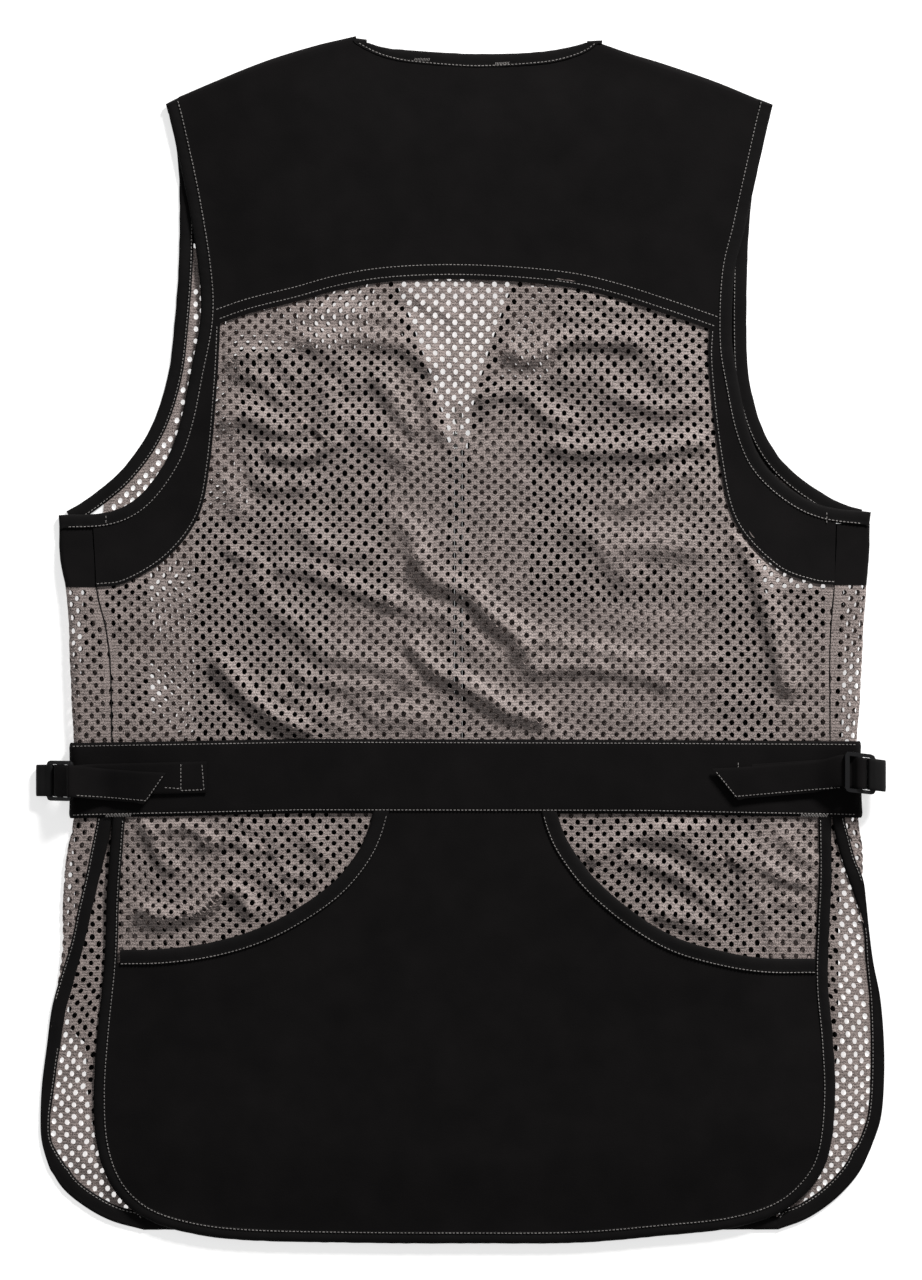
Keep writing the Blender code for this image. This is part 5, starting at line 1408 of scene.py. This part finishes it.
def ribbon(name, slot, side, rows, count, slant=0.0):
    """A strap along rows of (out, height, y, share), where share is how far it follows the belt's form."""
    fine = smooth(rows, 900)
    step = np.linalg.norm(np.diff(fine[:, :2], axis=0), axis=1) * (1.0 + 4.0 * (1.0 - fine[1:, 3]))
    along = np.concatenate(([0.0], np.cumsum(step)))
    wanted = np.linspace(0.0, along[-1], count + 1)
    path = np.column_stack([np.interp(wanted, along, fine[:, k]) for k in range(4)])
    way = np.gradient(path[:, :2], axis=0)
    way /= np.linalg.norm(way, axis=1)[:, None]
    across = np.column_stack((-way[:, 1], way[:, 0])) * STRAP / 2.0
    edges, thin = np.array(STRAP_ACROSS).T
    grids = []
    for sign in (-1.0, 1.0):
        made = []
        for k, (out, z, y, share) in enumerate(path):
            shift = slant * eased((k - count + 6) / 6.0)
            x = side * (out + sign * across[k, 0] * thin + edges * shift)
            here = y + edges * STRAP_WIDTH / 2.0
            drop = belt_lift(x, here) - belt_lift(x, np.full(len(x), y))
            level = z + sign * across[k, 1] * thin + np.clip(share, 0, 1) * drop
            made.append(np.column_stack((x, here, level)))
        grids.append(np.array(made))
    wall(name, slot, grids[0], grids[1])


def build_straps():
    first, second = 1.2, 2.85
    for side, word in SIDES.items():
        buckle = BUCKLES[side]

        def on_belt(out, level, end_out, end_y):
            y = np.interp(out, (end_out, buckle.out), (end_y, buckle.y))
            base = float(belt_lift(np.array(side * out), np.array(y))) + BELT
            return (out, base + level, y, 1.0)

        def at_buckle(out, z):
            return (out, z, buckle.y - buckle.skew * (out - buckle.out) * side, 0.0)

        rows = [on_belt(out, first, buckle.anchor_out, buckle.anchor_y)
                for out in np.linspace(buckle.anchor_out, buckle.join_out, 5)]
        rows.append(on_belt(buckle.join_out + 6.0, first + 1.0, buckle.anchor_out, buckle.anchor_y))
        rows += [at_buckle(*beside_buckle(buckle, u, w)) for u, w in ROUND_BARS[side]]
        rows += [on_belt(out, second, buckle.tip_out, buckle.tip_y)
                 for out in np.linspace(buckle.join_out - 2.0, buckle.tip_out, 4)]
        ribbon(f"strap_{word}_cloth", "black_cloth", side, rows, 150, buckle.slant)
        rows = [at_buckle(out, z) for out, z in WEBBING_START[side]]
        rows += [at_buckle(*beside_buckle(buckle, u, w)) for u, w in WEBBING_ROUND_BAR]
        ribbon(f"webbing_{word}_cloth", "black_webbing", side, rows, 60)


def dress_hard_parts():
    """The buckles and the zip's slider and pull stay as the CAD has them, with softened edges."""
    for name, width, slot in (
        ("buckle_left", 0.9, "black_plastic"), ("buckle_right", 0.9, "black_plastic"),
        ("zip_slider", 0.35, "zip_metal"), ("zip_pull", 0.25, "zip_metal"),
    ):
        node = frame["nodes"][name]
        node.data.materials.clear()
        node.data.materials.append(MATERIALS[slot])
        edge = node.modifiers.new("soft_edges", "BEVEL")
        edge.width = width * MM
        edge.segments = 3
        edge.limit_method = "ANGLE"
        edge.angle_limit = math.radians(40.0)


def tail_rows(side):
    """The stitches along a strap tail's lower edge, from the buckle on, and round its slanted end."""
    buckle = BUCKLES[side]
    out = np.array((buckle.out - TAIL_ROW_START[side], buckle.join_out, buckle.tip_out - buckle.slant - 1.6,
                    buckle.tip_out + buckle.slant + 2.4))
    y = np.interp(out, (buckle.tip_out, buckle.out), (buckle.tip_y, buckle.y))
    across = STRAP_WIDTH / 2.0 - 2.0
    return np.column_stack((side * out, y + (-across, -across, -across, across)))


def top_of(name, more, instead):
    """How high a finished piece's upper face stands, found by looking down on it."""
    mesh = bpy.data.objects[name].data
    tree = BVHTree.FromPolygons([v.co for v in mesh.vertices], [p.vertices for p in mesh.polygons])

    def height(x, y):
        seen = [tree.ray_cast((a * MM, b * MM, 0.1), (0.0, 0.0, -1.0))[0] for a, b in zip(x, y)]
        tops = np.array([math.nan if point is None else point.z / MM + more for point in seen])
        return np.where(np.isnan(tops), instead(x, y), tops)

    return height


def build_stitches():
    """Every sewn row that shows."""
    def on(height, more):
        return lambda x, y: height(x, y) + more

    for side, word in SIDES.items():
        arm = offset(ARM[side], -side * ARMHOLE_ROW)
        front = offset(smooth(FRONT_ARMHOLE[side]), -side * ARMHOLE_ROW)
        keep = (front[:, 1] < 300.0) & (side * front[:, 0] < side * front[-1, 0] - 6.0)
        heights = [on(lift, 2.6), level_at(FRONT_TAPE + 0.05)]
        stitches(f"armhole_stitches_{word}", [arm[:-3], front[keep]], heights)
        stitches(f"facing_stitches_{word}", [offset(CURVE[side], side * 2.2)], on(yoke_lift, CLOTH))
        scoop = scoop_line(side, SCOOP_BAND - 1.4)
        scoop = scoop[scoop[:, 1] < belt_edge(scoop[:, 0], True) - 1.0]
        stitches(f"scoop_stitches_{word}", [scoop], on(pouch_lift, SCOOP_TAPE))
        inner, outer, under = vent_rows(side)
        high = smooth(outer, 150) - [side * 1.6, 0.0]
        high = high[(high[:, 1] < BELOW_BELT_Y) & (high[:, 1] > VENT_TURN_Y[side])]
        low = offset(smooth(inner, 150), side * 1.5)
        low = low[low[:, 1] < VENT_TURN_Y[side] - 30.0]
        stitches(f"vent_stitches_{word}", [high, low],
                 lambda x, y: np.interp(y, inner[::-1, 1], under[::-1]) + 2.05)
        on_strap = top_of(f"strap_{word}_cloth", 0.1, on(belt_top, 3.45))
        stitches(f"strap_stitches_{word}", [tail_rows(side)], on_strap)
    yoke = [offset(YOKE, 3.2)[2:-2], offset(YOKE, 10.0)[2:-2]]
    stitches("yoke_stitches", yoke, on(yoke_lift, CLOTH))
    stitches("neck_stitches", [offset(NECK_INNER, 1.9)[4:-4]], on(lift, 2.6))
    x = np.linspace(-271.0, 276.0, 200)
    belt = [np.column_stack((x, belt_edge(x, False) - 2.4)), np.column_stack((x, belt_edge(x, True) + 2.4))]
    stitches("belt_stitches", belt, on(belt_top, 0.05))
    back = offset(BACK, VENT_BAND - 1.4)
    stitches("back_edge_stitches", [back[back[:, 1] < BELOW_BELT_Y]], on(lift, BACK_TAPE))
    stitches("anchor_stitches", map(np.array, ANCHOR_ROWS), on(belt_top, 1.8))
    stitches("seam_ticks", map(np.array, SEAM_TICKS), on(lift, 2.55))
    tacks = {"pitch": 1.1, "length": 2.0, "width": 0.45, "slant": 68.0}
    stitches("neck_tacks", map(np.array, NECK_TACKS), on(lift, 2.75), **tacks)
    stitches("belt_tacks", map(np.array, BELT_TACKS), on(belt_top, 0.1), **tacks)


def build_seam_threads():
    """The fine dark line where the back mesh meets the front's side mesh."""
    for side, word in SIDES.items():
        path = part_of(SEAMS[side], lambda x, y: (y < 42.0) & (y > -76.0), 120)
        half = np.array((0.4, 0.0))
        tape(f"seam_thread_{word}", "black_binding", path - side * half, path + side * half,
             lambda x, y: lift(x, y) + MESH - 0.1, 0.45, pucker=0.05)


# Floor, lights and camera, in metres: the picture shows 0.896 m of the floor from top to bottom
FLOOR_HALF = 6.0
LIGHTS = (
    ("key", (2.0, 3.5, 2.05), 0.9, 268.0, (1.0, 0.985, 0.97)),
    ("fill", (-3.0, -0.8, 3.6), 2.8, 14.0, (0.97, 0.985, 1.0)),
)
CAMERA_HEIGHT = 3.0
PICTURE_HEIGHT = 0.896
HALF_PIXEL = 0.00035


def build_stage():
    floor_mesh = bpy.data.meshes.new("floor")
    corners = [(x * FLOOR_HALF, y * FLOOR_HALF, -0.0003) for x, y in ((-1, -1), (1, -1), (1, 1), (-1, 1))]
    floor_mesh.from_pydata(corners, [], [(0, 1, 2, 3)])
    floor = bpy.data.objects.new("floor", floor_mesh)
    bpy.context.scene.collection.objects.link(floor)
    material, _, shader = new_material("pale_floor", (0.9, 0.9, 0.9), 0.9)
    shader.inputs["Emission Color"].default_value = (1.0, 1.0, 1.0, 1.0)
    shader.inputs["Emission Strength"].default_value = 0.62
    floor_mesh.materials.append(material)
    world = bpy.data.worlds.new("studio")
    world.use_nodes = True
    world.node_tree.nodes["Background"].inputs["Color"].default_value = (1.0, 1.0, 1.0, 1.0)
    world.node_tree.nodes["Background"].inputs["Strength"].default_value = 0.17
    bpy.context.scene.world = world
    for name, place, size, power, colour in LIGHTS:
        light = bpy.data.lights.new(name, "AREA")
        light.energy = power
        light.size = size
        light.color = colour
        lamp = bpy.data.objects.new(name, light)
        lamp.location = place
        x, y, z = (-value for value in place)
        lamp.rotation_euler = (math.atan2(math.hypot(x, y), -z), 0.0, math.atan2(y, x) - math.pi / 2)
        bpy.context.scene.collection.objects.link(lamp)
    camera_data = bpy.data.cameras.new("camera")
    camera_data.sensor_fit = "VERTICAL"
    camera_data.sensor_height = 36.0
    camera_data.lens = camera_data.sensor_height * CAMERA_HEIGHT / PICTURE_HEIGHT
    camera = bpy.data.objects.new("camera", camera_data)
    camera.location = (HALF_PIXEL, -HALF_PIXEL, CAMERA_HEIGHT)
    bpy.context.scene.collection.objects.link(camera)
    bpy.context.scene.camera = camera
    bpy.context.scene.view_settings.view_transform = "Standard"


# Which CAD nodes each piece stands for
STANDS_FOR = {
    "back_mesh_cloth": ("back_mesh",),
    "back_mesh_low_left": ("back_mesh_lower",),
    "yoke_cloth": ("back_yoke",),
    "neck_tape": ("neck_binding",),
    "pouch_cloth": ("game_pouch",),
    "back_tape_hem": ("back_binding_hem",),
    "belt_cloth": ("belt",),
    "front_hem_tape": ("front_hem_binding",),
    "front_mesh_chest_cloth": ("front_mesh_chest",),
    "shoulder_patch_cloth": ("shoulder_patch",),
    "zip_teeth": ("zip_chain",),
}
STANDS_FOR_PAIRS = {
    "scoop_tape_{}": ("scoop_binding_{}",),
    "back_tape_{}": ("back_binding_{}",),
    "facing_cloth_{}": ("armhole_facing_{}",),
    "armhole_tape_back_{}": ("armhole_binding_back_{}",),
    "armhole_tape_front_{}": ("armhole_binding_front_{}",),
    "armhole_side_{}_cloth": ("armhole_side_{}",),
    "front_mesh_{}_cloth": ("front_mesh_{}", "front_side_mesh_{}"),
    "front_vent_tape_{}": ("front_vent_binding_{}",),
    "v_tape_{}": ("v_binding_{}",),
    "front_yoke_{}_cloth": ("front_yoke_{}",),
    "front_panel_{}_cloth": ("front_panel_{}",),
    "zip_tape_{}_cloth": ("zip_tape_{}",),
    "strap_{}_cloth": ("strap_{}",),
    "webbing_{}_cloth": ("webbing_{}",),
}


def main():
    build_back_mesh()
    build_lower_mesh()
    build_yoke()
    build_neck_tape()
    build_pouch()
    build_scoop_tapes()
    build_back_tapes()
    build_facings()
    build_armhole_tapes()
    build_armhole_sides()
    build_belt()
    build_vent_tapes()
    build_front_panels()
    build_zip()
    build_straps()
    dress_hard_parts()
    build_stitches()
    build_seam_threads()
    build_stage()
    for name, nodes in STANDS_FOR.items():
        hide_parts(*nodes)
    for pattern, nodes in STANDS_FOR_PAIRS.items():
        for word in SIDES.values():
            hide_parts(*(node.format(word) for node in nodes))


main()
